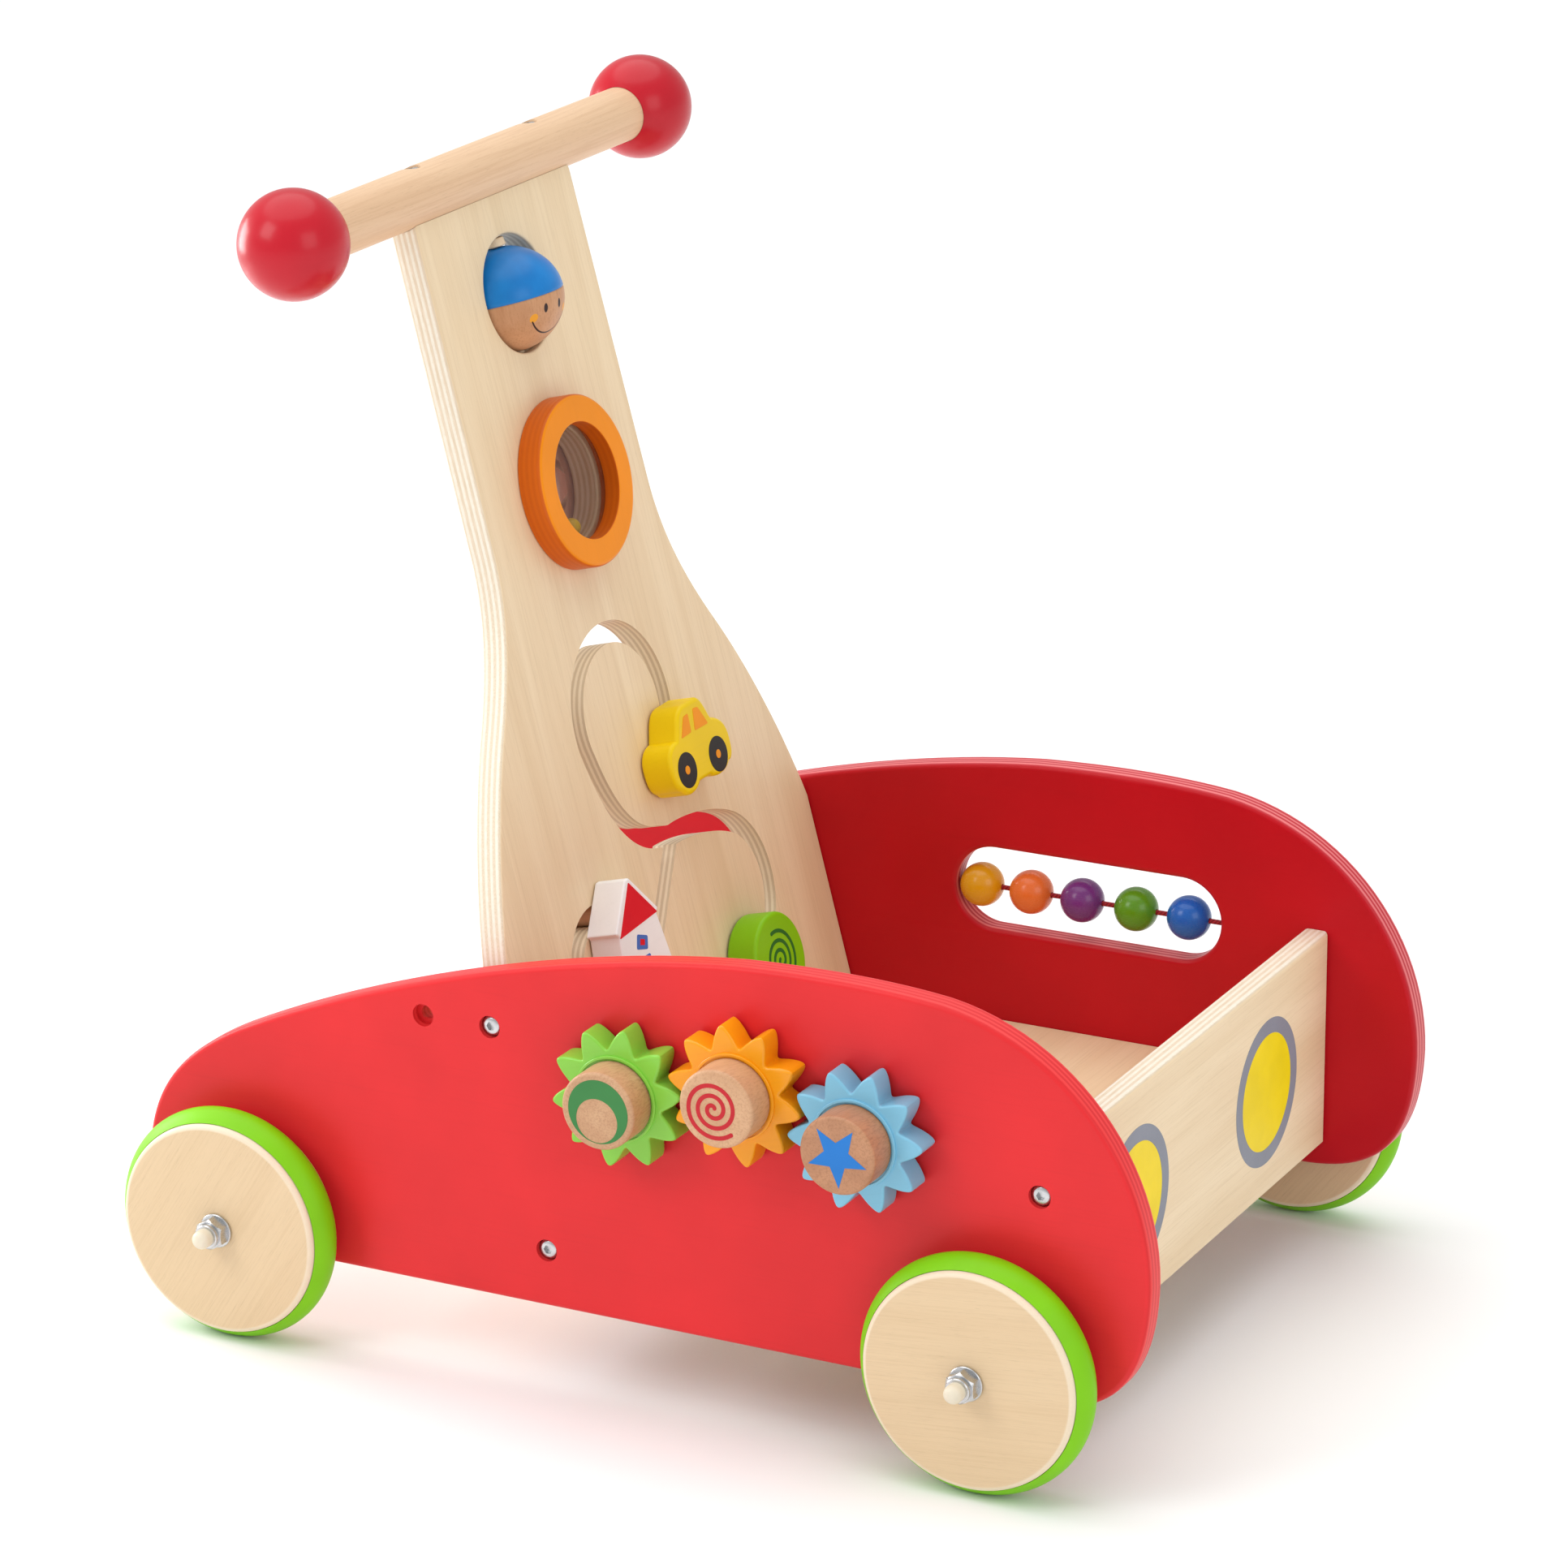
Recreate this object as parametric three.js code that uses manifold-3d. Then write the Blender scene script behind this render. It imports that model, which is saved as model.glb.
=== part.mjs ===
// Wooden baby walker: two shaped side panels carry a front panel, a tray floor, a leaning
// activity post with a push bar, four tyred wheels, three meshing gears and a bead slot.
// Millimetres. +X is forward (headlight panel), +Z up, -Y the side with the gears.
// Origin: middle of the footprint, on the ground under the wheels.
import * as THREE from 'three';
import { mergeVertices } from 'three/addons/utils/BufferGeometryUtils.js';
import Module from 'manifold-3d';

const wasm = await Module();
wasm.setup();

// ---------- driving dimensions ----------
const FIT = 0.3;                 // gap left between pieces that touch in the real toy
const PLY = 12;                  // plywood thickness of panels and post
const INNER_Y = 133.5;           // inner face of each side panel
const OUTER_Y = INNER_Y + PLY;
const EDGE = 2.4;                // rounding of the plywood edges

const WHEEL_R = 50.6;
const WHEEL_Z = WHEEL_R;
const AXLE_X = { front: 164.75, rear: -180.85 };
const AXLE_R = 4;
const COLLAR_R = 8;
const WHEEL_FACE_Y = 170.4;      // outer face of the wheel disc
const WHEEL_T = 20.6;
const DISC_R = 46;
const NUT_TIP_Y = 185.6;
const ROD_PROUD = 5.4;           // axle end beyond the wheel's face, inside the nut

const LEAN = THREE.MathUtils.degToRad(14.6);  // post leans back from the vertical
const BAR_X = -143.75;
const BAR_Z = 467.8;
const BAR_R = 12;
const BAR_HALF = 148;
const BALL_R = 22.5;
const BALL_Y = 142.4;
const BAR_SCREW_Y = 48;

const POST_FOOT = -437;          // plank coordinate of the post's bottom edge
const HEAD_HOLE_V = -52.5;
const HEAD_HOLE_R = 25;
const HEAD_V = -54.2;            // plane where cap and face meet
const HEAD_R = 24.3;
const HEAD_TOP = 22;             // cap height above that plane
const HEAD_BOTTOM = 22.4;        // face depth below it
const HEAD_PIN_R = 2;
const RING_V = -135;
const RING_R = 36.5;
const RING_BORE_R = 24.7;
const RING_T = 11;
const REAR_RING_T = 14;
const TRACK_W = 9.5;             // width of the track slot
const PEG_R = 4.25;
const BLOCK_T = 15;              // thickness of the sliding blocks

const GEAR_TEETH = 10;
const GEAR_TIP_R = 29.7;
const GEAR_ROOT_R = 20.8;
const GEAR_T = 12.5;
const GEAR_GAP = 1.5;
const GEAR_PITCH = 54.2;         // distance between neighbouring gear centres
const KNOB_R = 16.4;
const KNOB_TOP = 29;             // knob face above the panel

const SLOT = { x0: 13.25, x1: 139.45, z0: 118.3, z1: 155.5 };
const BEAD_R = 9.8;
const BEAD_Z = 136;
const BEAD_X = [23.55, 47.35, 71.85, 97.55, 122.55];
const CORD_R = 1.1;

// ---------- colours ----------
const PAINT = {
  red: 0xe04244, darkRed: 0xa5141e, ballRed: 0xcd2837, birch: 0xecd2aa, beech: 0xd7b491,
  green: 0x6ec828, gearGreen: 0x7dc846, gearOrange: 0xf59b1e, gearBlue: 0x7dbed7,
  ringOrange: 0xf09100, yellow: 0xf0d700, white: 0xf0eeea, blue: 0x2d7dcd,
  beadYellow: 0xdca00a, beadOrange: 0xe16e32, beadPurple: 0x6e3278, beadGreen: 0x5a9114,
  beadBlue: 0x1e5ab4, steel: 0xb8bcc0, cap: 0xe6dcc8, clear: 0xe8f0f0, mirror: 0xb08c7c,
};

const group = new THREE.Group();
group.name = 'baby_walker';

function add(name, geometry, colour, roughness = 0.55, metalness = 0) {
  const material = new THREE.MeshStandardMaterial({ color: colour, roughness, metalness });
  const mesh = new THREE.Mesh(geometry, material);
  mesh.name = name;
  group.add(mesh);
}

// ---------- solid helpers ----------
function solid(geometry) {
  const bare = new THREE.BufferGeometry();
  bare.setAttribute('position', geometry.getAttribute('position').clone());
  if (geometry.index) {
    bare.setIndex(geometry.index.clone());
  }
  const merged = mergeVertices(bare, 1e-4);
  const mesh = new wasm.Mesh({
    numProp: 3,
    vertProperties: Float32Array.from(merged.getAttribute('position').array),
    triVerts: Uint32Array.from(merged.index.array),
  });
  mesh.merge();
  return new wasm.Manifold(mesh);
}

function surface(manifold) {
  const mesh = manifold.getMesh();
  const geometry = new THREE.BufferGeometry();
  geometry.setAttribute('position', new THREE.BufferAttribute(mesh.vertProperties.slice(), 3));
  geometry.setIndex(new THREE.BufferAttribute(mesh.triVerts.slice(), 1));
  geometry.computeVertexNormals();
  return geometry;
}

function cut(body, ...tools) {
  let result = body;
  for (const tool of tools) {
    result = result.subtract(tool);
  }
  return result;
}

// Turned solid about +Y from [radius, height] pairs; a bored profile is closed on itself.
function turned(profile, segments) {
  const points = profile.map(([r, h]) => new THREE.Vector2(r, h));
  if (profile[0][0] > 0) {
    points.push(points[0].clone());
  }
  return new THREE.LatheGeometry(points, segments);
}

// Plain rod between two points.
function rod(from, to, radius, segments = 24) {
  const a = new THREE.Vector3(...from);
  const b = new THREE.Vector3(...to);
  const along = b.clone().sub(a);
  const geometry = new THREE.CylinderGeometry(radius, radius, along.length(), segments);
  const turn = new THREE.Quaternion().setFromUnitVectors(
    new THREE.Vector3(0, 1, 0), along.clone().normalize());
  geometry.applyQuaternion(turn);
  const middle = a.add(b).multiplyScalar(0.5);
  geometry.translate(middle.x, middle.y, middle.z);
  return solid(geometry);
}

// Plate from an outline, with quarter-round edges, centred on its own thickness.
function plate(shape, thickness, edge, curveSegments = 8, edgeSteps = 1) {
  const geometry = new THREE.ExtrudeGeometry(shape, {
    depth: thickness - 2 * edge,
    bevelEnabled: edge > 0,
    bevelThickness: edge,
    bevelSize: edge,
    bevelOffset: -edge,
    bevelSegments: edgeSteps,
    curveSegments,
  });
  geometry.translate(0, 0, edge - thickness / 2);
  return geometry;
}

// Plank frame: x = across the walker (+Y), y = up the leaning post, z = out of its front.
// Its zero is the push bar's axis, on the middle plane of the plank.
const PLANK = new THREE.Matrix4().makeBasis(
  new THREE.Vector3(0, 1, 0),
  new THREE.Vector3(-Math.sin(LEAN), 0, Math.cos(LEAN)),
  new THREE.Vector3(Math.cos(LEAN), 0, Math.sin(LEAN)),
).setPosition(BAR_X, 0, BAR_Z);

function onPlank(u, v, w) {
  return new THREE.Vector3(u, v, w).applyMatrix4(PLANK);
}

function plankRod(from, to, radius, segments = 24) {
  const a = onPlank(...from);
  const b = onPlank(...to);
  return rod(a.toArray(), b.toArray(), radius, segments);
}

// Panel frame: shape x stays x, shape y becomes z, thickness along Y.
function standing(geometry, y) {
  geometry.rotateX(Math.PI / 2);
  geometry.translate(0, y, 0);
  return geometry;
}

// ---------- side panels ----------
function sideOutline() {
  const s = new THREE.Shape();
  s.moveTo(-194, 34);
  s.lineTo(178, 34);
  s.bezierCurveTo(214, 34, 230.4, 50, 231.45, 92);
  s.bezierCurveTo(231.45, 142, 195, 187, 142, 195.5);
  s.bezierCurveTo(114, 199, 82, 198.7, 52, 197);
  s.bezierCurveTo(-28, 190, -118, 163, -181, 132);
  s.bezierCurveTo(-211, 117, -225, 100, -229, 76);
  s.bezierCurveTo(-232, 52, -216, 34, -194, 34);
  return s;
}

// Screw places on a side panel: into the post's edge (two) and the front panel's edge.
function postMidX(z) {
  return BAR_X + (BAR_Z - z) * Math.tan(LEAN);
}
const PANEL_SCREWS = [
  { name: 'upper', x: postMidX(152.4), z: 152.4 },
  { name: 'lower', x: postMidX(58.9), z: 58.9 },
  { name: 'front', x: 184.2, z: 123.3 },
];
const SPARE_HOLE = { x: -92.85, z: 152.3, r: 2.9 };
const SCREW_HEAD_R = 4.5;
const SCREW_SHANK_R = 2.4;
const SOCKET_R = 2;
const SCREW_DEPTH = 24;          // shank length beyond the panel's inner face
const COUNTERBORE = 4;
const COUNTERBORE_R = 4.8;
const BAR_COUNTERBORE = 3.6;

function gearCentres() {
  const green = new THREE.Vector2(4.05, 137.5);
  const up = THREE.MathUtils.degToRad(10.9);
  const down = THREE.MathUtils.degToRad(-10.7);
  const orange = green.clone().add(new THREE.Vector2(Math.cos(up), Math.sin(up)).multiplyScalar(GEAR_PITCH));
  const blue = orange.clone().add(new THREE.Vector2(Math.cos(down), Math.sin(down)).multiplyScalar(GEAR_PITCH));
  return { green, orange, blue };
}
const GEARS = gearCentres();
const PIN_R = 3;
const PIN_SEAT = 9;              // depth of a gear pin's blind hole in the panel

function sidePanel(side) {
  const outline = sideOutline();
  if (side > 0) {
    const r = (SLOT.z1 - SLOT.z0) / 2;
    const mid = (SLOT.z1 + SLOT.z0) / 2;
    const hole = new THREE.Path();
    hole.moveTo(SLOT.x0 + r, SLOT.z0);
    hole.lineTo(SLOT.x1 - r, SLOT.z0);
    hole.absarc(SLOT.x1 - r, mid, r, -Math.PI / 2, Math.PI / 2, false);
    hole.lineTo(SLOT.x0 + r, SLOT.z1);
    hole.absarc(SLOT.x0 + r, mid, r, Math.PI / 2, Math.PI * 1.5, false);
    outline.holes.push(hole);
  }
  const middle = side * (INNER_Y + PLY / 2);
  let body = solid(standing(plate(outline, PLY, EDGE, 7, 2), middle));
  const out = side * (OUTER_Y + 1);
  const inn = side * (INNER_Y - 1);
  for (const screw of PANEL_SCREWS) {
    body = cut(body,
      rod([screw.x, side * (OUTER_Y - COUNTERBORE), screw.z], [screw.x, out, screw.z], COUNTERBORE_R, 16),
      rod([screw.x, inn, screw.z], [screw.x, out, screw.z], SCREW_SHANK_R + FIT, 8));
  }
  body = cut(body,
    rod([SPARE_HOLE.x, side * (OUTER_Y - COUNTERBORE), SPARE_HOLE.z],
      [SPARE_HOLE.x, out, SPARE_HOLE.z], COUNTERBORE_R, 16),
    rod([SPARE_HOLE.x, inn, SPARE_HOLE.z], [SPARE_HOLE.x, out, SPARE_HOLE.z], SPARE_HOLE.r, 10));
  for (const x of Object.values(AXLE_X)) {
    body = cut(body, rod([x, inn, WHEEL_Z], [x, out, WHEEL_Z], AXLE_R + FIT, 14));
  }
  if (side > 0) {
    const y = INNER_Y + PLY / 2;
    body = cut(body, rod([SLOT.x0 - 8, y, BEAD_Z], [SLOT.x1 + 8, y, BEAD_Z], CORD_R + FIT, 8));
  } else {
    for (const c of Object.values(GEARS)) {
      body = cut(body, rod([c.x, -OUTER_Y + PIN_SEAT, c.y], [c.x, -OUTER_Y - 1, c.y], PIN_R + FIT, 12));
    }
  }
  return surface(body);
}
add('right_side_panel', sidePanel(-1), PAINT.red);
add('left_side_panel', sidePanel(1), PAINT.darkRed);

// ---------- front panel ----------
const FRONT_FACE_X = 190.35;
const FRONT_Z = { low: 45.2, high: 142.4 };
const CROSS_HALF = INNER_Y - FIT;

function edgeBores(body, screws, side) {
  let result = body;
  for (const s of screws) {
    result = cut(result, rod([s.x, side * (INNER_Y - SCREW_DEPTH - 1), s.z],
      [s.x, side * (INNER_Y + 1), s.z], SCREW_SHANK_R + FIT, 8));
  }
  return result;
}

function frontPanel() {
  const s = new THREE.Shape();
  const x0 = FRONT_FACE_X - PLY;
  const r = 3;
  s.moveTo(x0, FRONT_Z.low);
  s.lineTo(FRONT_FACE_X, FRONT_Z.low);
  s.lineTo(FRONT_FACE_X, FRONT_Z.high - r);
  s.absarc(FRONT_FACE_X - r, FRONT_Z.high - r, r, 0, Math.PI / 2, false);
  s.lineTo(x0 + r, FRONT_Z.high);
  s.absarc(x0 + r, FRONT_Z.high - r, r, Math.PI / 2, Math.PI, false);
  let body = solid(standing(plate(s, 2 * CROSS_HALF, 0, 4), 0));
  body = edgeBores(body, [PANEL_SCREWS[2]], 1);
  body = edgeBores(body, [PANEL_SCREWS[2]], -1);
  return surface(body);
}
add('front_panel', frontPanel(), PAINT.birch);

// ---------- tray floor, its rear edge slanted to the post ----------
const FLOOR = { top: 76.4, bottom: 67.4 };

function floorBoard() {
  const frontOfPost = (z) => postMidX(z) + PLY / 2 / Math.cos(LEAN) + FIT;
  const s = new THREE.Shape();
  s.moveTo(frontOfPost(FLOOR.bottom), FLOOR.bottom);
  s.lineTo(FRONT_FACE_X - PLY - FIT, FLOOR.bottom);
  s.lineTo(FRONT_FACE_X - PLY - FIT, FLOOR.top);
  s.lineTo(frontOfPost(FLOOR.top), FLOOR.top);
  return standing(plate(s, 2 * CROSS_HALF, 0), 0);
}
add('floor_board', floorBoard(), PAINT.birch);

// ---------- activity post ----------
const POST_TOP_HALF = 64;

function postOutline() {
  const s = new THREE.Shape();
  const top = -9;
  const r = 4;
  const half = POST_TOP_HALF;
  s.moveTo(-CROSS_HALF, POST_FOOT);
  s.lineTo(CROSS_HALF, POST_FOOT);
  s.lineTo(CROSS_HALF, -312);
  s.bezierCurveTo(124, -275, 106, -240, 92.7, -220);
  s.bezierCurveTo(80, -201, 66.6, -178, 66, -150);
  s.lineTo(half, top - r);
  s.absarc(half - r, top - r, r, 0, Math.PI / 2, false);
  s.lineTo(r - half, top);
  s.absarc(r - half, top - r, r, Math.PI / 2, Math.PI, false);
  s.lineTo(-66, -150);
  s.bezierCurveTo(-66.6, -178, -80, -201, -92.7, -220);
  s.bezierCurveTo(-106, -240, -124, -275, -CROSS_HALF, -312);
  return s;
}

// Track arcs: centre, radius and the angles (degrees) each block's peg can reach.
const LOOP = { u: 0, v: -236, r: 35.3, rest: -36 };
const ARCH = { u: 51, v: -332.5, r: 32, rest: -88 };
const HOOK = { u: -59.5, v: -329, r: 22, rest: 70 };

function onArc(arc, degrees) {
  const a = THREE.MathUtils.degToRad(degrees);
  return new THREE.Vector2(arc.u + arc.r * Math.cos(a), arc.v + arc.r * Math.sin(a));
}

function arcPoints(arc, from, to, steps) {
  const points = [];
  for (let i = 0; i <= steps; i += 1) {
    points.push(onArc(arc, from + (to - from) * i / steps));
  }
  return points;
}

function curvePoints(a, b, c, d, steps) {
  const curve = new THREE.CubicBezierCurve(a, b, c, d);
  return curve.getPoints(steps).slice(1, -1);
}

// A slot of constant width with round ends along a line of points.
function slotAlong(points, width, deep) {
  const half = width / 2;
  const last = points.length - 1;
  const normal = (i) => {
    const a = points[Math.max(i - 1, 0)];
    const b = points[Math.min(i + 1, last)];
    const d = b.clone().sub(a).normalize();
    return new THREE.Vector2(-d.y, d.x);
  };
  const cap = (i, sign) => {
    const n = normal(i).multiplyScalar(sign);
    const start = Math.atan2(n.y, n.x);
    const ring = [];
    for (let k = 1; k < 5; k += 1) {
      const a = start - Math.PI * k / 5;
      ring.push(new THREE.Vector2(points[i].x + half * Math.cos(a), points[i].y + half * Math.sin(a)));
    }
    return ring;
  };
  const leftSide = points.map((p, i) => p.clone().addScaledVector(normal(i), half));
  const rightSide = points.map((p, i) => p.clone().addScaledVector(normal(i), -half)).reverse();
  const outline = [...leftSide, ...cap(last, 1), ...rightSide, ...cap(0, -1)];
  return solid(plate(new THREE.Shape(outline), deep, 0)).transform(PLANK.elements);
}

const V2 = (x, y) => new THREE.Vector2(x, y);
// The track dips under the loop, runs almost level past the fork and over into the arch.
const DIP = V2(2, -291.3);
const FORK = V2(14, -294.3);
const BRANCH = V2(-11.4, -325);
const LOOP_END = 200;
const ARCH_START = 62;
const HOOK_END = 270;
const MAIN_TRACK = [
  ...arcPoints(LOOP, LOOP.rest, LOOP_END, 20),
  ...curvePoints(onArc(LOOP, LOOP_END), V2(-26, -276), V2(-12, -288.5), DIP, 6),
  DIP,
  ...curvePoints(DIP, V2(6.5, -292.2), V2(9.5, -294.1), FORK, 3),
  FORK,
  ...curvePoints(FORK, V2(26, -293.6), V2(50, -296.3), onArc(ARCH, ARCH_START), 6),
  ...arcPoints(ARCH, ARCH_START, ARCH.rest, 12),
];
const SIDE_TRACK = [
  ...arcPoints(HOOK, HOOK.rest, HOOK_END, 13),
  ...curvePoints(onArc(HOOK, HOOK_END), V2(-38, -351), V2(-26, -342), BRANCH, 5),
  BRANCH,
  V2(13, -296),
];
const SLOT_CUT = PLY + 4;        // cutters reach past both faces of the post

function handlePost() {
  let body = solid(plate(postOutline(), PLY, 1.6, 7)).transform(PLANK.elements);
  body = cut(body,
    slotAlong(MAIN_TRACK, TRACK_W, SLOT_CUT),
    slotAlong(SIDE_TRACK, TRACK_W, SLOT_CUT),
    plankRod([0, HEAD_HOLE_V, -PLY], [0, HEAD_HOLE_V, PLY], HEAD_HOLE_R, 36),
    plankRod([0, RING_V, -PLY], [0, RING_V, PLY], RING_BORE_R, 36),
    plankRod([-POST_TOP_HALF - 6, 0, 0], [POST_TOP_HALF + 6, 0, 0], BAR_R + FIT, 32),
    plankRod([0, -5, 0], [0, HEAD_HOLE_V - HEAD_HOLE_R - 9, 0], HEAD_PIN_R + FIT, 10));
  for (const y of [-BAR_SCREW_Y, BAR_SCREW_Y]) {
    body = cut(body, plankRod([y, 0, 0], [y, -40, 0], SCREW_SHANK_R + FIT, 8));
  }
  const intoPost = PANEL_SCREWS.slice(0, 2);
  body = edgeBores(body, intoPost, 1);
  body = edgeBores(body, intoPost, -1);
  return surface(body);
}
add('handle_post', handlePost(), PAINT.birch);

// ---------- push bar and balls ----------
function handleBar() {
  const e = 2;
  const bar = turned([
    [0, -BAR_HALF], [BAR_R - e, -BAR_HALF], [BAR_R, e - BAR_HALF],
    [BAR_R, BAR_HALF - e], [BAR_R - e, BAR_HALF], [0, BAR_HALF],
  ], 32);
  bar.translate(BAR_X, 0, BAR_Z);
  let body = solid(bar);
  for (const y of [-BAR_SCREW_Y, BAR_SCREW_Y]) {
    body = cut(body,
      plankRod([y, BAR_R - BAR_COUNTERBORE, 0], [y, BAR_R + 4, 0], COUNTERBORE_R, 14),
      plankRod([y, -BAR_R - 2, 0], [y, BAR_R, 0], SCREW_SHANK_R + FIT, 8));
  }
  return surface(body);
}
add('handle_bar', handleBar(), PAINT.beech);

function handleBall(side) {
  const ball = new THREE.SphereGeometry(BALL_R, 24, 12);
  ball.translate(BAR_X, side * BALL_Y, BAR_Z);
  return surface(cut(solid(ball),
    rod([BAR_X, side * (BALL_Y - BALL_R - 2), BAR_Z], [BAR_X, side * (BAR_HALF + FIT), BAR_Z],
      BAR_R + FIT, 32)));
}
add('handle_ball_right', handleBall(-1), PAINT.ballRed, 0.35);
add('handle_ball_left', handleBall(1), PAINT.ballRed, 0.35);

// ---------- button-head screws with hexagon sockets ----------
// Built along +Y: shank tip at -length, underside of the head at 0.
function buttonScrew(length) {
  const head = SCREW_HEAD_R;
  const body = solid(turned([
    [0, -length], [SCREW_SHANK_R, -length],
    [SCREW_SHANK_R, 0], [head, 0], [head, 1.3], [head - 1.1, 2.5], [0, 2.8],
  ], 12));
  return cut(body, rod([0, 1, 0], [0, 4, 0], SOCKET_R, 6));
}

for (const [word, side] of [['right', -1], ['left', 1]]) {
  for (const place of PANEL_SCREWS) {
    const screw = surface(buttonScrew(PLY - COUNTERBORE + SCREW_DEPTH - 2));
    if (side < 0) {
      screw.rotateX(Math.PI);
    }
    screw.translate(place.x, side * (OUTER_Y - COUNTERBORE + FIT), place.z);
    add('panel_screw_' + word + '_' + place.name, screw, PAINT.steel, 0.35, 0.9);
  }
  const barScrew = surface(buttonScrew(44));
  barScrew.translate(side * BAR_SCREW_Y, BAR_R - BAR_COUNTERBORE + FIT, 0);
  barScrew.applyMatrix4(PLANK);
  add('bar_screw_' + word, barScrew, PAINT.steel, 0.35, 0.9);
}

// ---------- wheels, axles, nuts ----------
function wheelDisc() {
  const h = WHEEL_T / 2;
  const bore = AXLE_R + FIT;
  const geometry = turned([
    [bore, -h], [DISC_R - 2.5, -h], [DISC_R, 2.5 - h],
    [DISC_R, h - 2.5], [DISC_R - 2.5, h], [bore, h],
  ], 30);
  return geometry;
}

// Tread bulges from the disc's rim up to its crown on the wheel's middle plane.
function tyre() {
  const seat = DISC_R + FIT;
  const flank = [[8, seat], [6.4, WHEEL_R - 2.9], [4.2, WHEEL_R - 1.3], [1.6, WHEEL_R]];
  const back = flank.map(([h, r]) => [r, -h]);
  const front = flank.map(([h, r]) => [r, h]).reverse();
  return turned([...back, ...front], 30);
}

// Axle rod with the spacer collars that keep the wheels off the panels.
function axle(x) {
  const end = WHEEL_FACE_Y + ROD_PROUD;
  const c0 = OUTER_Y + FIT;
  const c1 = WHEEL_FACE_Y - WHEEL_T - FIT;
  const geometry = turned([
    [0, -end], [AXLE_R, -end], [AXLE_R, -c1], [COLLAR_R, -c1], [COLLAR_R, -c0],
    [AXLE_R, -c0], [AXLE_R, c0], [COLLAR_R, c0], [COLLAR_R, c1], [AXLE_R, c1],
    [AXLE_R, end], [0, end],
  ], 16);
  geometry.translate(x, 0, WHEEL_Z);
  return geometry;
}

// Flange, hexagon, round collar and domed insert of the nut, as one piece; opening toward -Y.
function axleNut() {
  const base = WHEEL_FACE_Y + FIT;
  const tip = NUT_TIP_Y;
  const flange = solid(turned([[0, base], [7.4, base], [7.4, base + 1.2], [0, base + 1.2]], 16));
  const hexagon = rod([0, base + 1, 0], [0, base + 6.4, 0], 6.9, 6);
  const top = solid(turned([
    [0, base + 6.2], [5.3, base + 6.2], [5.3, base + 8.6], [4, base + 9],
    [4, tip - 3.4], [3.5, tip - 1.6], [2.2, tip - 0.4], [0, tip],
  ], 16));
  return cut(flange.add(hexagon).add(top),
    rod([0, base - 1, 0], [0, WHEEL_FACE_Y + ROD_PROUD + FIT, 0], AXLE_R + FIT, 16));
}

for (const [end, x] of Object.entries(AXLE_X)) {
  add('axle_' + end, axle(x), PAINT.steel, 0.35, 0.9);
  for (const [word, side] of [['right', -1], ['left', 1]]) {
    const y = side * (WHEEL_FACE_Y - WHEEL_T / 2);
    const disc = wheelDisc();
    disc.translate(x, y, WHEEL_Z);
    add('wheel_disc_' + end + '_' + word, disc, PAINT.beech);
    const rubber = tyre();
    rubber.translate(x, y, WHEEL_Z);
    add('tyre_' + end + '_' + word, rubber, PAINT.green, 0.7);
    const nut = surface(axleNut());
    if (side < 0) {
      nut.rotateX(Math.PI);
    }
    nut.translate(x, 0, WHEEL_Z);
    add('axle_nut_' + end + '_' + word, nut, PAINT.cap, 0.4);
  }
}

// ---------- gears ----------
const LIP = { inner: 17.4, outer: 18.5 };  // low ring moulded round each knob

function gearShape(phase) {
  const steps = 8;
  const round = 0.88;            // 1 would give pointed tips and roots
  const points = [];
  for (let i = 0; i < GEAR_TEETH * steps; i += 1) {
    const a = 2 * Math.PI * i / (GEAR_TEETH * steps);
    const wave = Math.asin(round * Math.cos(GEAR_TEETH * a)) / Math.asin(round);
    const r = GEAR_ROOT_R + (GEAR_TIP_R - GEAR_ROOT_R) * (1 + wave) / 2;
    points.push(V2(r * Math.cos(a + phase), r * Math.sin(a + phase)));
  }
  return new THREE.Shape(points);
}

// Tooth tips: the green gear points one at the orange gear, which shows it a gap, and so on.
const PHASE = {
  green: THREE.MathUtils.degToRad(10.9),
  orange: THREE.MathUtils.degToRad(172.9),
  blue: THREE.MathUtils.degToRad(147.7),
};

function gear(colour) {
  const c = GEARS[colour];
  const back = OUTER_Y + GEAR_GAP;
  const wheel = standing(plate(gearShape(PHASE[colour]), GEAR_T, 0.8, 12, 1), -(back + GEAR_T / 2));
  wheel.translate(c.x, 0, c.y);
  let body = solid(wheel);
  const face = -(back + GEAR_T);
  const ring = rod([c.x, face + 1, c.y], [c.x, face - 1, c.y], LIP.outer, 24);
  body = body.add(ring);
  body = cut(body,
    rod([c.x, face - 2, c.y], [c.x, face, c.y], LIP.inner, 24),
    rod([c.x, face - 2, c.y], [c.x, -OUTER_Y, c.y], PIN_R + FIT, 12));
  return surface(body);
}

function boredKnob(colour) {
  const c = GEARS[colour];
  const low = OUTER_Y + GEAR_GAP + GEAR_T + FIT;
  const high = OUTER_Y + KNOB_TOP;
  const r = KNOB_R;
  const blank = solid(turned([
    [0, low], [r, low], [r, high - 3], [r - 0.9, high - 0.9], [r - 3, high], [0, high],
  ], 26));
  const turnedKnob = surface(cut(blank, rod([0, low - 1, 0], [0, high - 5, 0], PIN_R + FIT, 12)));
  turnedKnob.rotateX(Math.PI);
  turnedKnob.translate(c.x, 0, c.y);
  return turnedKnob;
}

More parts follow.
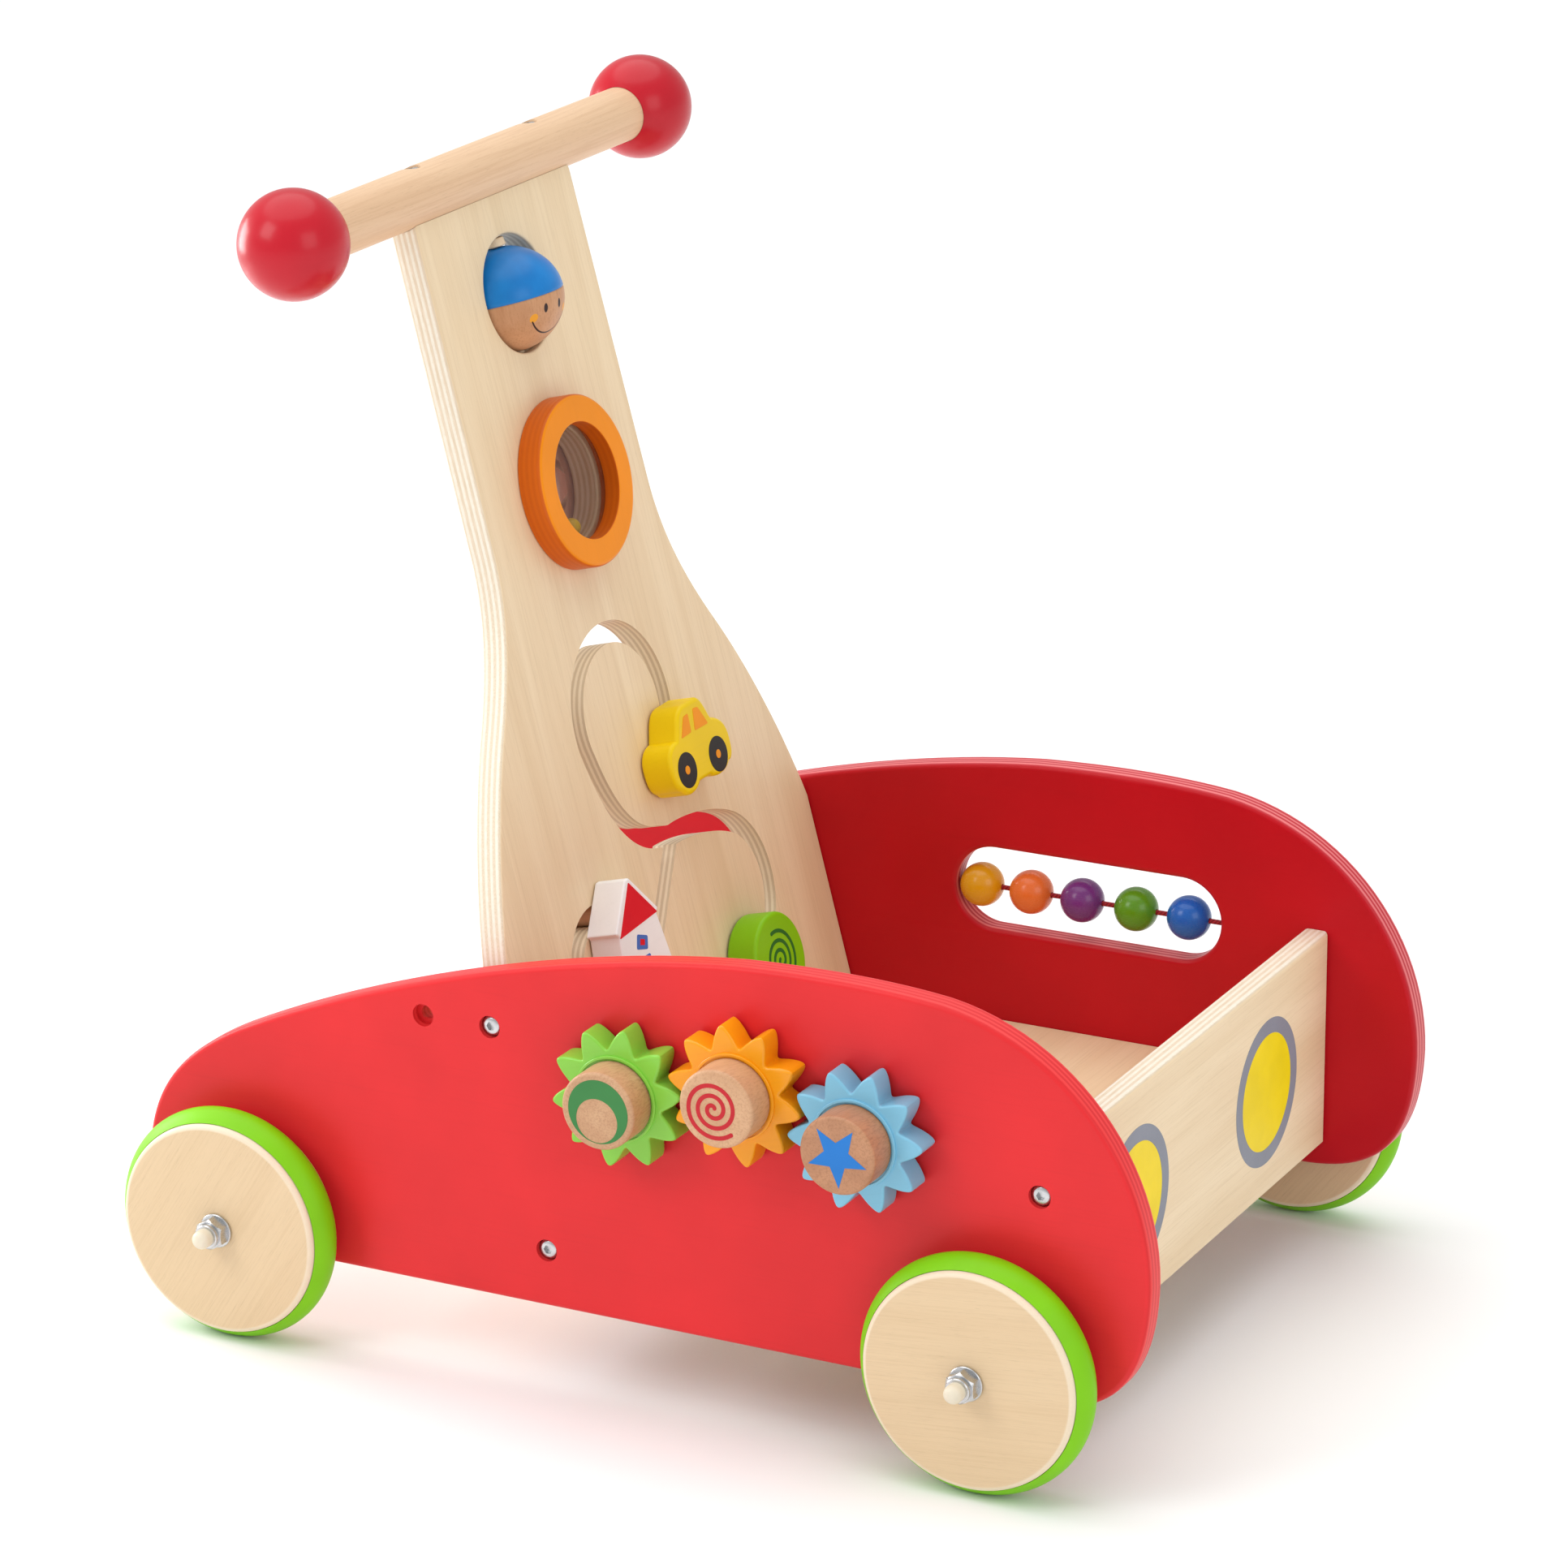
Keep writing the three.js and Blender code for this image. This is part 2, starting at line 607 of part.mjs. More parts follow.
for (const [colour, c] of Object.entries(GEARS)) {
  const paint = { green: PAINT.gearGreen, orange: PAINT.gearOrange, blue: PAINT.gearBlue };
  add('gear_' + colour, gear(colour), paint[colour], 0.4);
  add('knob_' + colour, boredKnob(colour), PAINT.beech);
  const pin = rod([c.x, -OUTER_Y + PIN_SEAT - FIT, c.y],
    [c.x, -(OUTER_Y + KNOB_TOP - 5 - FIT), c.y], PIN_R, 12);
  add('gear_pin_' + colour, surface(pin), PAINT.steel, 0.35, 0.9);
}

// ---------- turning head in the top hole ----------
function placed(geometry, u, v, w) {
  geometry.translate(u, v, w);
  geometry.applyMatrix4(PLANK);
  return geometry;
}

// Cap above and face below, two half eggs that meet at the widest place.
function head() {
  const bore = HEAD_PIN_R + FIT;
  const profile = [];
  const steps = 6;
  for (let i = 0; i < steps; i += 1) {
    const a = -Math.PI / 2 + (Math.PI / 2) * i / steps;
    profile.push([HEAD_R * Math.cos(a), HEAD_BOTTOM * Math.sin(a)]);
  }
  profile[0] = [bore, -HEAD_BOTTOM + 0.1];
  for (let i = 0; i <= steps; i += 1) {
    const a = (Math.PI / 2) * i / steps;
    profile.push([HEAD_R * Math.cos(a), HEAD_TOP * Math.sin(a)]);
  }
  profile[profile.length - 1] = [bore, HEAD_TOP - 0.1];
  return placed(turned(profile, 26), 0, HEAD_V, 0);
}
add('head', head(), PAINT.blue, 0.4);

// Pin with the small wooden collar that keeps the head centred in its hole.
function headPin() {
  const low = HEAD_HOLE_V - HEAD_HOLE_R - 8.5;
  const seat = HEAD_V + HEAD_TOP + FIT;
  const collarTop = HEAD_HOLE_V + HEAD_HOLE_R - 0.9;
  const r = HEAD_PIN_R;
  const tip = -14.5;
  const geometry = turned([
    [0, low], [r, low], [r, seat], [5.3, seat], [4.6, collarTop], [r, collarTop], [r, tip], [0, tip],
  ], 12);
  return placed(geometry, 0, 0, 0);
}
add('head_pin', headPin(), PAINT.beech);

// ---------- ring window ----------
// The ring is stepped behind so that it traps the clear disc against the post.
const RING_ROUND = 1.8;          // rounding of a ring's outer edge
const RING_SEAT = 4;             // depth of the step that holds the disc
const RING_STEP = 3;
const DISC_T = 3;
const DISC_SET = 0.8;            // gap between a disc and the post's face

function ring(depth) {
  const o = RING_R;
  const i = RING_BORE_R;
  const seat = i + RING_STEP;
  return turned([
    [seat, 0], [o, 0], [o, depth - RING_ROUND], [o - 0.3 * RING_ROUND, depth - 0.3 * RING_ROUND],
    [o - RING_ROUND, depth], [i, depth], [i, RING_SEAT], [seat, RING_SEAT],
  ], 34);
}
const frontRing = ring(RING_T);
frontRing.rotateX(Math.PI / 2);
add('ring_front', placed(frontRing, 0, RING_V, PLY / 2 + FIT), PAINT.ringOrange, 0.4);
const rearRing = ring(REAR_RING_T);
rearRing.rotateX(-Math.PI / 2);
add('ring_rear', placed(rearRing, 0, RING_V, -PLY / 2 - FIT), PAINT.yellow, 0.4);

// Front disc is plain and clear; the rear disc is a mirror with a raised six-sided boss.
function clearDisc() {
  const r = RING_BORE_R + RING_STEP - FIT;
  return turned([[0, 0], [r, 0], [r, DISC_T], [0, DISC_T]], 28);
}
const frontWindow = clearDisc();
frontWindow.rotateX(Math.PI / 2);
add('window_front', placed(frontWindow, 0, RING_V, PLY / 2 + DISC_SET), PAINT.clear, 0.1);

function rearWindow() {
  const facets = solid(turned([[0, -5], [9, -5], [20, -0.5], [20, 1], [0, 1]], 6));
  const body = surface(solid(clearDisc()).add(facets));
  body.rotateX(-Math.PI / 2);
  return placed(body, 0, RING_V, -PLY / 2 - DISC_SET);
}
add('window_rear', rearWindow(), PAINT.mirror, 0.2, 0.6);

// Two small beads loose behind the window, lying at the bottom of the bore.
const RATTLE = { r: 4, track: RING_BORE_R - 4 - 0.6, red: -102.5, yellow: -77.5, w: 1 };
for (const [word, colour] of [['red', PAINT.ballRed], ['yellow', PAINT.yellow]]) {
  const a = THREE.MathUtils.degToRad(RATTLE[word]);
  const bead = new THREE.SphereGeometry(RATTLE.r, 12, 8);
  add('rattle_bead_' + word,
    placed(bead, RATTLE.track * Math.cos(a), RING_V + RATTLE.track * Math.sin(a), RATTLE.w),
    colour, 0.4);
}

// ---------- track blocks ----------
const BLOCK_GAP = 0.6;           // air between a block and the post face
const NECK_R = 2.6;              // thin end of a peg, inside its block
const FLANGE_R = 10;

function block(shape, at, curve = 8, drop = 0) {
  const base = PLY / 2 + BLOCK_GAP;
  const blank = plate(shape, BLOCK_T, 1.4, curve);
  blank.translate(0, -drop, 0);
  let body = solid(blank);
  body = cut(body, rod([0, 0, -BLOCK_T], [0, 0, 2.5], NECK_R + FIT, 10));
  const geometry = surface(body);
  return placed(geometry, at.x, at.y, base + BLOCK_T / 2);
}

// Peg: a wide sliding part in the slot, a thin neck into the block, a flange behind the post.
function peg(at) {
  const front = PLY / 2 + BLOCK_GAP + BLOCK_T / 2 + 2.2;
  const face = PLY / 2;
  const back = -PLY / 2 - 0.6;
  const geometry = turned([
    [0, back - 4], [FLANGE_R - 0.8, back - 4], [FLANGE_R, back - 3.2], [FLANGE_R, back],
    [PEG_R, back], [PEG_R, face], [NECK_R, face], [NECK_R, front], [0, front],
  ], 14);
  geometry.rotateX(Math.PI / 2);
  return placed(geometry, at.x, at.y, 0);
}

// Side view of a small car, drawn about its peg.
function carShape() {
  const s = new THREE.Shape();
  s.moveTo(-26, -6);
  s.bezierCurveTo(-26.6, 1, -22, 4.8, -16.5, 4.9);
  s.bezierCurveTo(-13.5, 10, -12.5, 17.2, -5, 17.8);
  s.lineTo(6.5, 17.9);
  s.bezierCurveTo(11, 17.5, 13, 10, 15.2, 6.6);
  s.bezierCurveTo(22.5, 4.5, 26.5, 1.5, 26.6, -6);
  s.bezierCurveTo(26.6, -12, 25.6, -14.8, 21.6, -15.2);
  s.bezierCurveTo(18.5, -18.8, 9, -19.4, 4.5, -16.2);
  s.lineTo(-5, -16.2);
  s.bezierCurveTo(-9.5, -20.4, -17.5, -20.4, -20.4, -16.6);
  s.bezierCurveTo(-24.4, -15, -25.8, -11, -26, -6);
  return s;
}

// Little house drawn about its peg, which sits under the ridge.
function houseShape() {
  const s = new THREE.Shape();
  s.moveTo(-20.4, -29.6);
  s.lineTo(20.2, -29.6);
  s.lineTo(16, -6);
  s.lineTo(18.2, -4.4);
  s.lineTo(1.2, 14);
  s.lineTo(-1.8, 14);
  s.lineTo(-18.4, -4.8);
  s.lineTo(-16.2, -6.4);
  return s;
}

const SPIRAL_R = 21.3;

function discShape() {
  const s = new THREE.Shape();
  s.absarc(0, 0, SPIRAL_R, 0, 2 * Math.PI, false);
  return s;
}

const PEGS = {
  car: onArc(LOOP, LOOP.rest),
  house: onArc(HOOK, HOOK.rest),
  spiral: onArc(ARCH, ARCH.rest),
};
add('block_car', block(carShape(), PEGS.car, 4, 1.6), PAINT.yellow, 0.4);
add('block_house', block(houseShape(), PEGS.house), PAINT.white, 0.5);
add('block_spiral', block(discShape(), PEGS.spiral, 16), PAINT.green, 0.4);
for (const [word, at] of Object.entries(PEGS)) {
  add('peg_' + word, peg(at), PAINT.beech);
}

// ---------- bead slot ----------
const CORD_Y = INNER_Y + PLY / 2;

function cord() {
  const round = new THREE.Shape();
  round.absarc(0, 0, CORD_R, 0, 2 * Math.PI, false);
  const route = new THREE.LineCurve3(
    new THREE.Vector3(SLOT.x0 - 7, CORD_Y, BEAD_Z),
    new THREE.Vector3(SLOT.x1 + 7, CORD_Y, BEAD_Z));
  return new THREE.ExtrudeGeometry(round, { steps: 1, curveSegments: 5, extrudePath: route });
}
add('bead_cord', cord(), PAINT.darkRed, 0.8);

function slotBead() {
  const bore = CORD_R + FIT;
  const from = Math.asin(bore / BEAD_R);
  const profile = [];
  const steps = 8;
  for (let i = 0; i <= steps; i += 1) {
    const a = from + (Math.PI - 2 * from) * i / steps;
    profile.push([BEAD_R * Math.sin(a), -BEAD_R * Math.cos(a)]);
  }
  const bead = turned(profile, 16);
  bead.rotateZ(-Math.PI / 2);
  return bead;
}
const BEAD_WORDS = ['yellow', 'orange', 'purple', 'green', 'blue'];
BEAD_WORDS.forEach((word, i) => {
  const paint = 'bead' + word[0].toUpperCase() + word.slice(1);
  const bead = slotBead();
  bead.translate(BEAD_X[i], CORD_Y, BEAD_Z);
  add('bead_' + word, bead, PAINT[paint], 0.3);
});

export default group;
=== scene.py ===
"""Looks of the wooden baby walker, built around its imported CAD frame.

Shapes are made in millimetres, in the row frame (+X forward, +Y the walker's left, +Z up) or in
the leaning post's own frame, and put in place in metres. Every piece rides on a CAD body.
"""
from math import asin, atan2, cos, degrees, dist, pi, radians, sin, tan

import bmesh
import bpy
from mathutils import Matrix, Vector


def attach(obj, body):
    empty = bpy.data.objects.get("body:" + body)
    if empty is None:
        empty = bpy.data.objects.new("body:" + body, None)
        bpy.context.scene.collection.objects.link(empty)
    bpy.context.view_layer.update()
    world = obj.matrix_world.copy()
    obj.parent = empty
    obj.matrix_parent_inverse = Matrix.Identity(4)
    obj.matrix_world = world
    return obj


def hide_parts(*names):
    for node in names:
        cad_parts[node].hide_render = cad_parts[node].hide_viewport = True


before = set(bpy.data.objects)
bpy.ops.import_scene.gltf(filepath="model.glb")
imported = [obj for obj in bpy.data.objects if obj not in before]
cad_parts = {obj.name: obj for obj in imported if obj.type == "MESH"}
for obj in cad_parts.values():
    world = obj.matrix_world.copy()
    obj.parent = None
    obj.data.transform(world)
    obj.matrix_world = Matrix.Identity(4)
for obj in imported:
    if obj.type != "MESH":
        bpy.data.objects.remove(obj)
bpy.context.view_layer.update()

# --- sizes, in millimetres, as in the CAD ---
MM = 0.001
PLY = 12.0
GAP = 0.3                 # between neighbouring pieces
INNER_Y = 133.5
OUTER_Y = INNER_Y + PLY
MID_Y = INNER_Y + PLY / 2
LEAN = radians(14.6)
BAR_X, BAR_Z, BAR_R, BAR_HALF = -143.75, 467.8, 12.0, 148.0
BALL_R, BALL_Y = 22.5, 142.4
BAR_SCREW_Y = 48.0
WHEEL_R, WHEEL_T, WHEEL_FACE_Y, DISC_R = 50.6, 20.6, 170.4, 46.0
AXLE_R, COLLAR_R, NUT_TIP_Y = 4.0, 8.0, 185.6
AXLE_X = {"front": 164.75, "rear": -180.85}
POST_FOOT = -437.0
HEAD_HOLE_V, HEAD_HOLE_R = -52.5, 25.0
HEAD_V, HEAD_R, HEAD_TOP, HEAD_BOTTOM = -54.2, 24.3, 22.0, 22.4
HEAD_PIN_R, HEAD_PIN_LOW, HEAD_PIN_HIGH = 2.0, -31.8, 39.7
RING_V, RING_R, RING_BORE_R = -135.0, 36.5, 24.7
RING_ROUND, RING_SEAT, RING_STEP = 1.8, 4.0, 3.0
WINDOW_T, WINDOW_SET = 3.0, 0.8
RATTLE_R, RATTLE_W = 4.0, 1.0
TRACK_W = 9.5
BLOCK_T, BLOCK_GAP = 15.0, 0.6
FRONT_X, FRONT_LOW, FRONT_HIGH = 190.35, 45.2, 142.4
FRONT_MID_X = FRONT_X - PLY / 2
FLOOR_TOP, FLOOR_BOTTOM = 76.4, 67.4
SLOT = (13.25, 139.45, 118.3, 155.5)
BEAD_R, BEAD_Z = 9.8, 136.0
SIDES = {"right": -1, "left": 1}
GEAR_PITCH, GEAR_TIP, GEAR_ROOT, GEAR_T, GEAR_GAP = 54.2, 29.7, 20.8, 12.5, 1.5
GEAR_BORE_R, KNOB_R, KNOB_TOP = 3.3, 16.4, 29.0
CROSS = INNER_Y - GAP

# --- frames ---
V_AXIS = Vector((-sin(LEAN), 0, cos(LEAN)))
N_AXIS = Vector((cos(LEAN), 0, sin(LEAN)))


def axes(x, y, z, origin):
    """Local x, y and z directions and origin (mm) as a matrix."""
    m = Matrix((x, y, z)).transposed().to_4x4()
    m.translation = origin
    return m


PLANK = axes(Vector((0, 1, 0)), V_AXIS, N_AXIS, (BAR_X, 0, BAR_Z))
UPWARD = Matrix.Rotation(-pi / 2, 4, "X")    # on the post, turns local z up along it


def upright(y):
    """Local x, y are row X, Z and local z points toward -Y."""
    return axes((1, 0, 0), (0, 0, 1), (0, -1, 0), (0, y, 0))


def outward(side, x, y, z):
    """Local z points out of a side panel at the given row point."""
    return axes((1, 0, 0), (0, 0, -side), (0, side, 0), (x, y, z))


def facing_front(x, y, z):
    """Local x, y are row Y, Z and local z points along +X."""
    return axes((0, 1, 0), (0, 0, 1), (1, 0, 0), (x, y, z))


def facing_left(x, y, z):
    """Local x, y are row Z, X and local z points along +Y."""
    return axes((0, 0, 1), (1, 0, 0), (0, 1, 0), (x, y, z))


def on_plank(u, v, w):
    return PLANK @ Matrix.Translation((u, v, w))


def thing(name, data):
    """New object in the scene."""
    o = bpy.data.objects.new(name, data)
    bpy.context.scene.collection.objects.link(o)
    return o


# --- camera, at the photograph's angle ---
CAMERA_AT = (1.0788, -2.0751, 1.0111)
CAMERA_LENS = 135.8


def make_camera():
    azimuth, elevation, roll = radians(27.51), radians(18.66), radians(-0.5)
    ahead = -Vector((sin(azimuth) * cos(elevation),
                     -cos(azimuth) * cos(elevation), sin(elevation)))
    right = ahead.cross(Vector((0, 0, 1))).normalized()
    up = right.cross(ahead)
    turned_right = right * cos(roll) + up * sin(roll)
    turned_up = -right * sin(roll) + up * cos(roll)
    data = bpy.data.cameras.new("camera")
    data.sensor_width = 36.0
    data.lens = CAMERA_LENS
    data.clip_end = 100.0
    camera = thing("camera", data)
    camera.matrix_world = axes(turned_right, turned_up, -ahead, CAMERA_AT)
    bpy.context.scene.camera = camera


make_camera()


# --- curves and outlines ---
def bezier(a, b, c, d, steps=24):
    """Points of a cubic curve, its last point left out."""
    points = []
    for i in range(steps):
        t = i / steps
        s = 1 - t
        points.append(tuple(s**3 * a[k] + 3 * s * s * t * b[k] + 3 * s * t * t * c[k] + t**3 * d[k]
                            for k in range(2)))
    return points


def path(start, *parts, steps=24):
    """Closed outline from straight (one point) and curved (three points) parts."""
    points, here = [], start
    for part in parts:
        if len(part) == 1:
            points.append(here)
            here = part[0]
        else:
            points.extend(bezier(here, *part, steps=steps))
            here = part[-1]
    if dist(here, start) > 1e-6:
        points.append(here)
    return points


def polar(r, a, cx=0, cy=0):
    """Point at distance r and angle a, in radians, from a centre."""
    return (cx + r * cos(a), cy + r * sin(a))


def arc(cx, cy, r, a0, a1, steps=5):
    """Points from angle a0 to a1 in degrees, both ends included."""
    return [polar(r, radians(a0 + (a1 - a0) * i / steps), cx, cy) for i in range(steps + 1)]


def circle(cx, cy, r, steps=96):
    return arc(cx, cy, r, 0, 360, steps)[:-1]


def stadium(x0, x1, z0, z1):
    """Level slot with round ends."""
    r, mid = (z1 - z0) / 2, (z0 + z1) / 2
    return arc(x1 - r, mid, r, -90, 90, 32) + arc(x0 + r, mid, r, 90, 270, 32)


def ribbon(points, width, caps=8):
    """Outline of a line of constant width with round ends."""
    half, last = width / 2, len(points) - 1

    def normal(i):
        a, b = points[max(i - 1, 0)], points[min(i + 1, last)]
        d = dist(a, b)
        return (a[1] - b[1]) / d, (b[0] - a[0]) / d

    def cap(i, sign):
        n = normal(i)
        start = atan2(n[1] * sign, n[0] * sign)
        return [polar(half, start - pi * k / caps, *points[i]) for k in range(1, caps)]

    def line(h):
        return [(p[0] + h * normal(i)[0], p[1] + h * normal(i)[1]) for i, p in enumerate(points)]

    return line(half) + cap(last, 1) + line(-half)[::-1] + cap(0, -1)


# --- mesh makers ---
def from_bmesh(name, bm):
    bmesh.ops.remove_doubles(bm, verts=bm.verts, dist=1e-4)
    bmesh.ops.recalc_face_normals(bm, faces=bm.faces)
    mesh = bpy.data.meshes.new(name)
    bm.to_mesh(mesh)
    bm.free()
    return thing(name, mesh)


def plate(name, loops, thickness, edge, rings=3):
    """Sheet from outlines (holes included) with quarter-round edges, centred on its thickness."""
    data = bpy.data.curves.new(name, "CURVE")
    data.dimensions = "2D"
    data.fill_mode = "BOTH"
    data.extrude = thickness / 2 - edge
    data.bevel_depth = edge
    data.bevel_resolution = rings
    data.offset = -edge
    for loop in loops:
        spline = data.splines.new("POLY")
        spline.points.add(len(loop) - 1)
        for point, (x, y) in zip(spline.points, loop):
            point.co = (x, y, 0, 1)
        spline.use_cyclic_u = True
    o = thing(name, data)
    bpy.context.view_layer.update()
    mesh = bpy.data.meshes.new_from_object(o.evaluated_get(bpy.context.evaluated_depsgraph_get()))
    bpy.data.objects.remove(o)
    bm = bmesh.new()
    bm.from_mesh(mesh)
    bpy.data.meshes.remove(mesh)
    return from_bmesh(name, bm)


def lathe(name, profile, segments=96, turn=0.0):
    """Closed solid turned about local z from [radius, height] pairs."""
    bm = bmesh.new()
    closed = profile[0][0] > 1e-6
    rows = []
    for r, h in profile:
        if r <= 1e-6:
            rows.append([bm.verts.new((0, 0, h))] * segments)
        else:
            rows.append([bm.verts.new((*polar(r, turn + 2 * pi * k / segments), h))
                         for k in range(segments)])
    pairs = list(zip(rows, rows[1:])) + ([(rows[-1], rows[0])] if closed else [])
    for low, high in pairs:
        for k in range(segments):
            j = (k + 1) % segments
            corners = []
            for v in (low[k], low[j], high[j], high[k]):
                if v not in corners:
                    corners.append(v)
            if len(corners) > 2:
                bm.faces.new(corners)
    return from_bmesh(name, bm)


def carve(piece, *cutters, operation="DIFFERENCE"):
    """Cuts the cutters from a piece, or joins or crosses it with them, and removes them."""
    for cutter in cutters:
        m = piece.modifiers.new("cut", "BOOLEAN")
        m.operation = operation
        m.solver = "EXACT"
        m.object = cutter
    bpy.context.view_layer.update()
    mesh = bpy.data.meshes.new_from_object(
        piece.evaluated_get(bpy.context.evaluated_depsgraph_get()))
    piece.modifiers.clear()
    piece.data = mesh
    for cutter in cutters:
        bpy.data.objects.remove(cutter)
    return piece


def rod(a, b, r, segments=48):
    """Cutting cylinder between two local points."""
    a, b = Vector(a), Vector(b)
    length = (b - a).length
    o = lathe("rod", [(0, 0), (r, 0), (r, length), (0, length)], segments)
    turn = Vector((0, 0, 1)).rotation_difference(b - a).to_matrix().to_4x4()
    o.data.transform(Matrix.Translation(a) @ turn)
    return o


def finish(o, name, place, body, material, nodes=(), sharp=30, weighted=True):
    o.data.transform(Matrix.Scale(MM, 4) @ place)
    o.name = name
    o.data.name = name
    o.data.shade_smooth()
    o.data.set_sharp_from_angle(angle=radians(sharp))
    if weighted:
        m = o.modifiers.new("normals", "WEIGHTED_NORMAL")
        m.keep_sharp = True
    o.data.materials.clear()
    o.data.materials.append(material)
    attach(o, body)
    if nodes:
        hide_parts(*nodes)


# --- materials ---
def rgb(r, g, b):
    """Scene-linear colour of a screen colour given from 0 to 255."""
    def channel(c):
        c /= 255
        return c / 12.92 if c <= 0.04045 else ((c + 0.055) / 1.055) ** 2.4
    return (channel(r), channel(g), channel(b), 1.0)


def shade(colour, factor):
    return tuple(min(1.0, c * factor) for c in colour[:3]) + (1.0,)


class Paint:
    """A material under construction: node makers that take numbers or sockets."""

    def __init__(self, name):
        self.material = bpy.data.materials.new(name)
        self.material.use_nodes = True
        self.tree = self.material.node_tree
        self.tree.nodes.clear()
        self.shader = self.add("ShaderNodeBsdfPrincipled")
        out = self.add("ShaderNodeOutputMaterial")
        self.tree.links.new(self.shader.outputs[0], out.inputs[0])
        coordinates = self.add("ShaderNodeTexCoord")
        self.at = self.vector("SCALE", coordinates.outputs["Object"], scale=1 / MM)
        self.normal = coordinates.outputs["Normal"]

    def add(self, kind, **settings):
        node = self.tree.nodes.new(kind)
        for key, value in settings.items():
            setattr(node, key, value)
        return node

    def feed(self, socket, value):
        """Links a socket or sets a number; None leaves the input as it is."""
        if isinstance(value, bpy.types.NodeSocket):
            self.tree.links.new(value, socket)
        elif value is not None:
            socket.default_value = value

    def vector(self, operation, a, b=None, scale=None):
        node = self.add("ShaderNodeVectorMath", operation=operation)
        self.feed(node.inputs[0], a)
        self.feed(node.inputs[1], b)
        if scale is not None:
            self.feed(node.inputs["Scale"], scale)
        return node.outputs["Value" if operation in ("DOT_PRODUCT", "LENGTH") else "Vector"]

    def math(self, operation, a, b=None):
        node = self.add("ShaderNodeMath", operation=operation)
        self.feed(node.inputs[0], a)
        self.feed(node.inputs[1], b)
        return node.outputs[0]

    def plus(self, a, b):
        return self.math("ADD", a, b)

    def minus(self, a, b):
        return self.math("SUBTRACT", a, b)

    def times(self, a, b):
        return self.math("MULTIPLY", a, b)

    def scaled(self, v, factors):
        return self.vector("MULTIPLY", v, factors)

    def dot(self, v, direction):
        return self.vector("DOT_PRODUCT", v, tuple(direction))

    def rotate(self, v, axis, angle):
        node = self.add("ShaderNodeVectorRotate", rotation_type="AXIS_ANGLE")
        self.feed(node.inputs["Vector"], v)
        node.inputs["Axis"].default_value = axis
        node.inputs["Angle"].default_value = angle
        return node.outputs[0]

    def noise(self, v, scale, detail=3.0, roughness=0.55, distortion=0.0):
        node = self.add("ShaderNodeTexNoise")
        for key, value in (("Vector", v), ("Scale", scale), ("Detail", detail),
                           ("Roughness", roughness), ("Distortion", distortion)):
            self.feed(node.inputs[key], value)
        return node.outputs[0]

    def span(self, value, low, high, to_low=0.0, to_high=1.0, smooth=False):
        node = self.add("ShaderNodeMapRange", interpolation_type="SMOOTHSTEP" if smooth else "LINEAR")
        for key, number in (("Value", value), ("From Min", low), ("From Max", high),
                            ("To Min", to_low), ("To Max", to_high)):
            self.feed(node.inputs[key], number)
        return node.outputs[0]

    def mix(self, factor, a, b):
        node = self.add("ShaderNodeMix", data_type="RGBA")
        self.feed(node.inputs[0], factor)
        self.feed(node.inputs[6], a)
        self.feed(node.inputs[7], b)
        return node.outputs[2]

    def bump(self, height, strength, distance=0.0002):
        node = self.add("ShaderNodeBump")
        node.inputs["Strength"].default_value = strength
        node.inputs["Distance"].default_value = distance
        self.feed(node.inputs["Height"], height)
        self.feed(self.shader.inputs["Normal"], node.outputs[0])

    def colour(self, value):
        self.feed(self.shader.inputs["Base Color"], value)

    def rough(self, value):
        self.feed(self.shader.inputs["Roughness"], value)

    def set(self, key, value):
        self.shader.inputs[key].default_value = value

    def coat(self, weight, roughness):
        self.set("Coat Weight", weight)
        self.set("Coat Roughness", roughness)


def grain(p, v, fine=1.0):
    """Figure, streak and pore masks of wood whose grain runs along local z of v (mm)."""
    figure = p.noise(p.scaled(v, (0.055, 0.055, 0.0035)), 1.0, 3.0, 0.5, 0.6)
    streak = p.noise(p.scaled(v, (0.9 * fine, 0.9 * fine, 0.022)), 1.0, 4.0, 0.6)
    pore = p.noise(p.scaled(v, (2.6 * fine, 2.6 * fine, 0.16)), 1.0, 2.0, 0.5)
    return figure, streak, pore


def wood(name, light, dark, axis, roughness=0.5, contrast=1.0, fine=1.0, offset=0.0, hub=None):
    """Lacquered solid wood with grain along axis; a wheel gives its hub and gets a pale sanded rim."""
    p = Paint(name)
    figure, streak, pore = grain(p, along(p, axis, offset), fine)
    tone = p.mix(p.span(figure, 0.35, 0.65, 0.0, 0.55 * contrast), light, dark)
    tone = p.mix(p.span(streak, 0.42, 0.68, 0.0, 0.5 * contrast, True), tone, shade(dark, 0.92))
    tone = p.mix(p.span(pore, 0.60, 0.74, 0.0, 0.42 * contrast, True), tone, shade(dark, 0.62))
    if hub:
        spoke = p.scaled(p.vector("SUBTRACT", p.at, hub), (1, 0, 1))
        reach = p.vector("LENGTH", spoke)
        tone = p.mix(p.span(reach, DISC_R - 2.4, DISC_R - 1.6, 0.0, 0.5), tone, rgb(246, 236, 216))
    p.colour(tone)
    p.rough(p.span(streak, 0.3, 0.7, roughness - 0.05, roughness + 0.07))
    p.bump(p.plus(streak, p.times(pore, 0.6)), 0.12)
    p.coat(0.12, 0.35)
    return p.material


def along(p, axis, offset=0.0):
    """Coordinates turned so that the row direction axis becomes local z."""
    turn = Vector(axis).normalized().rotation_difference(Vector((0, 0, 1)))
    direction, angle = turn.to_axis_angle()
    v = p.rotate(p.at, direction, angle) if angle > 1e-6 else p.at
    return p.vector("ADD", v, (offset, offset * 0.7, offset * 1.3)) if offset else v


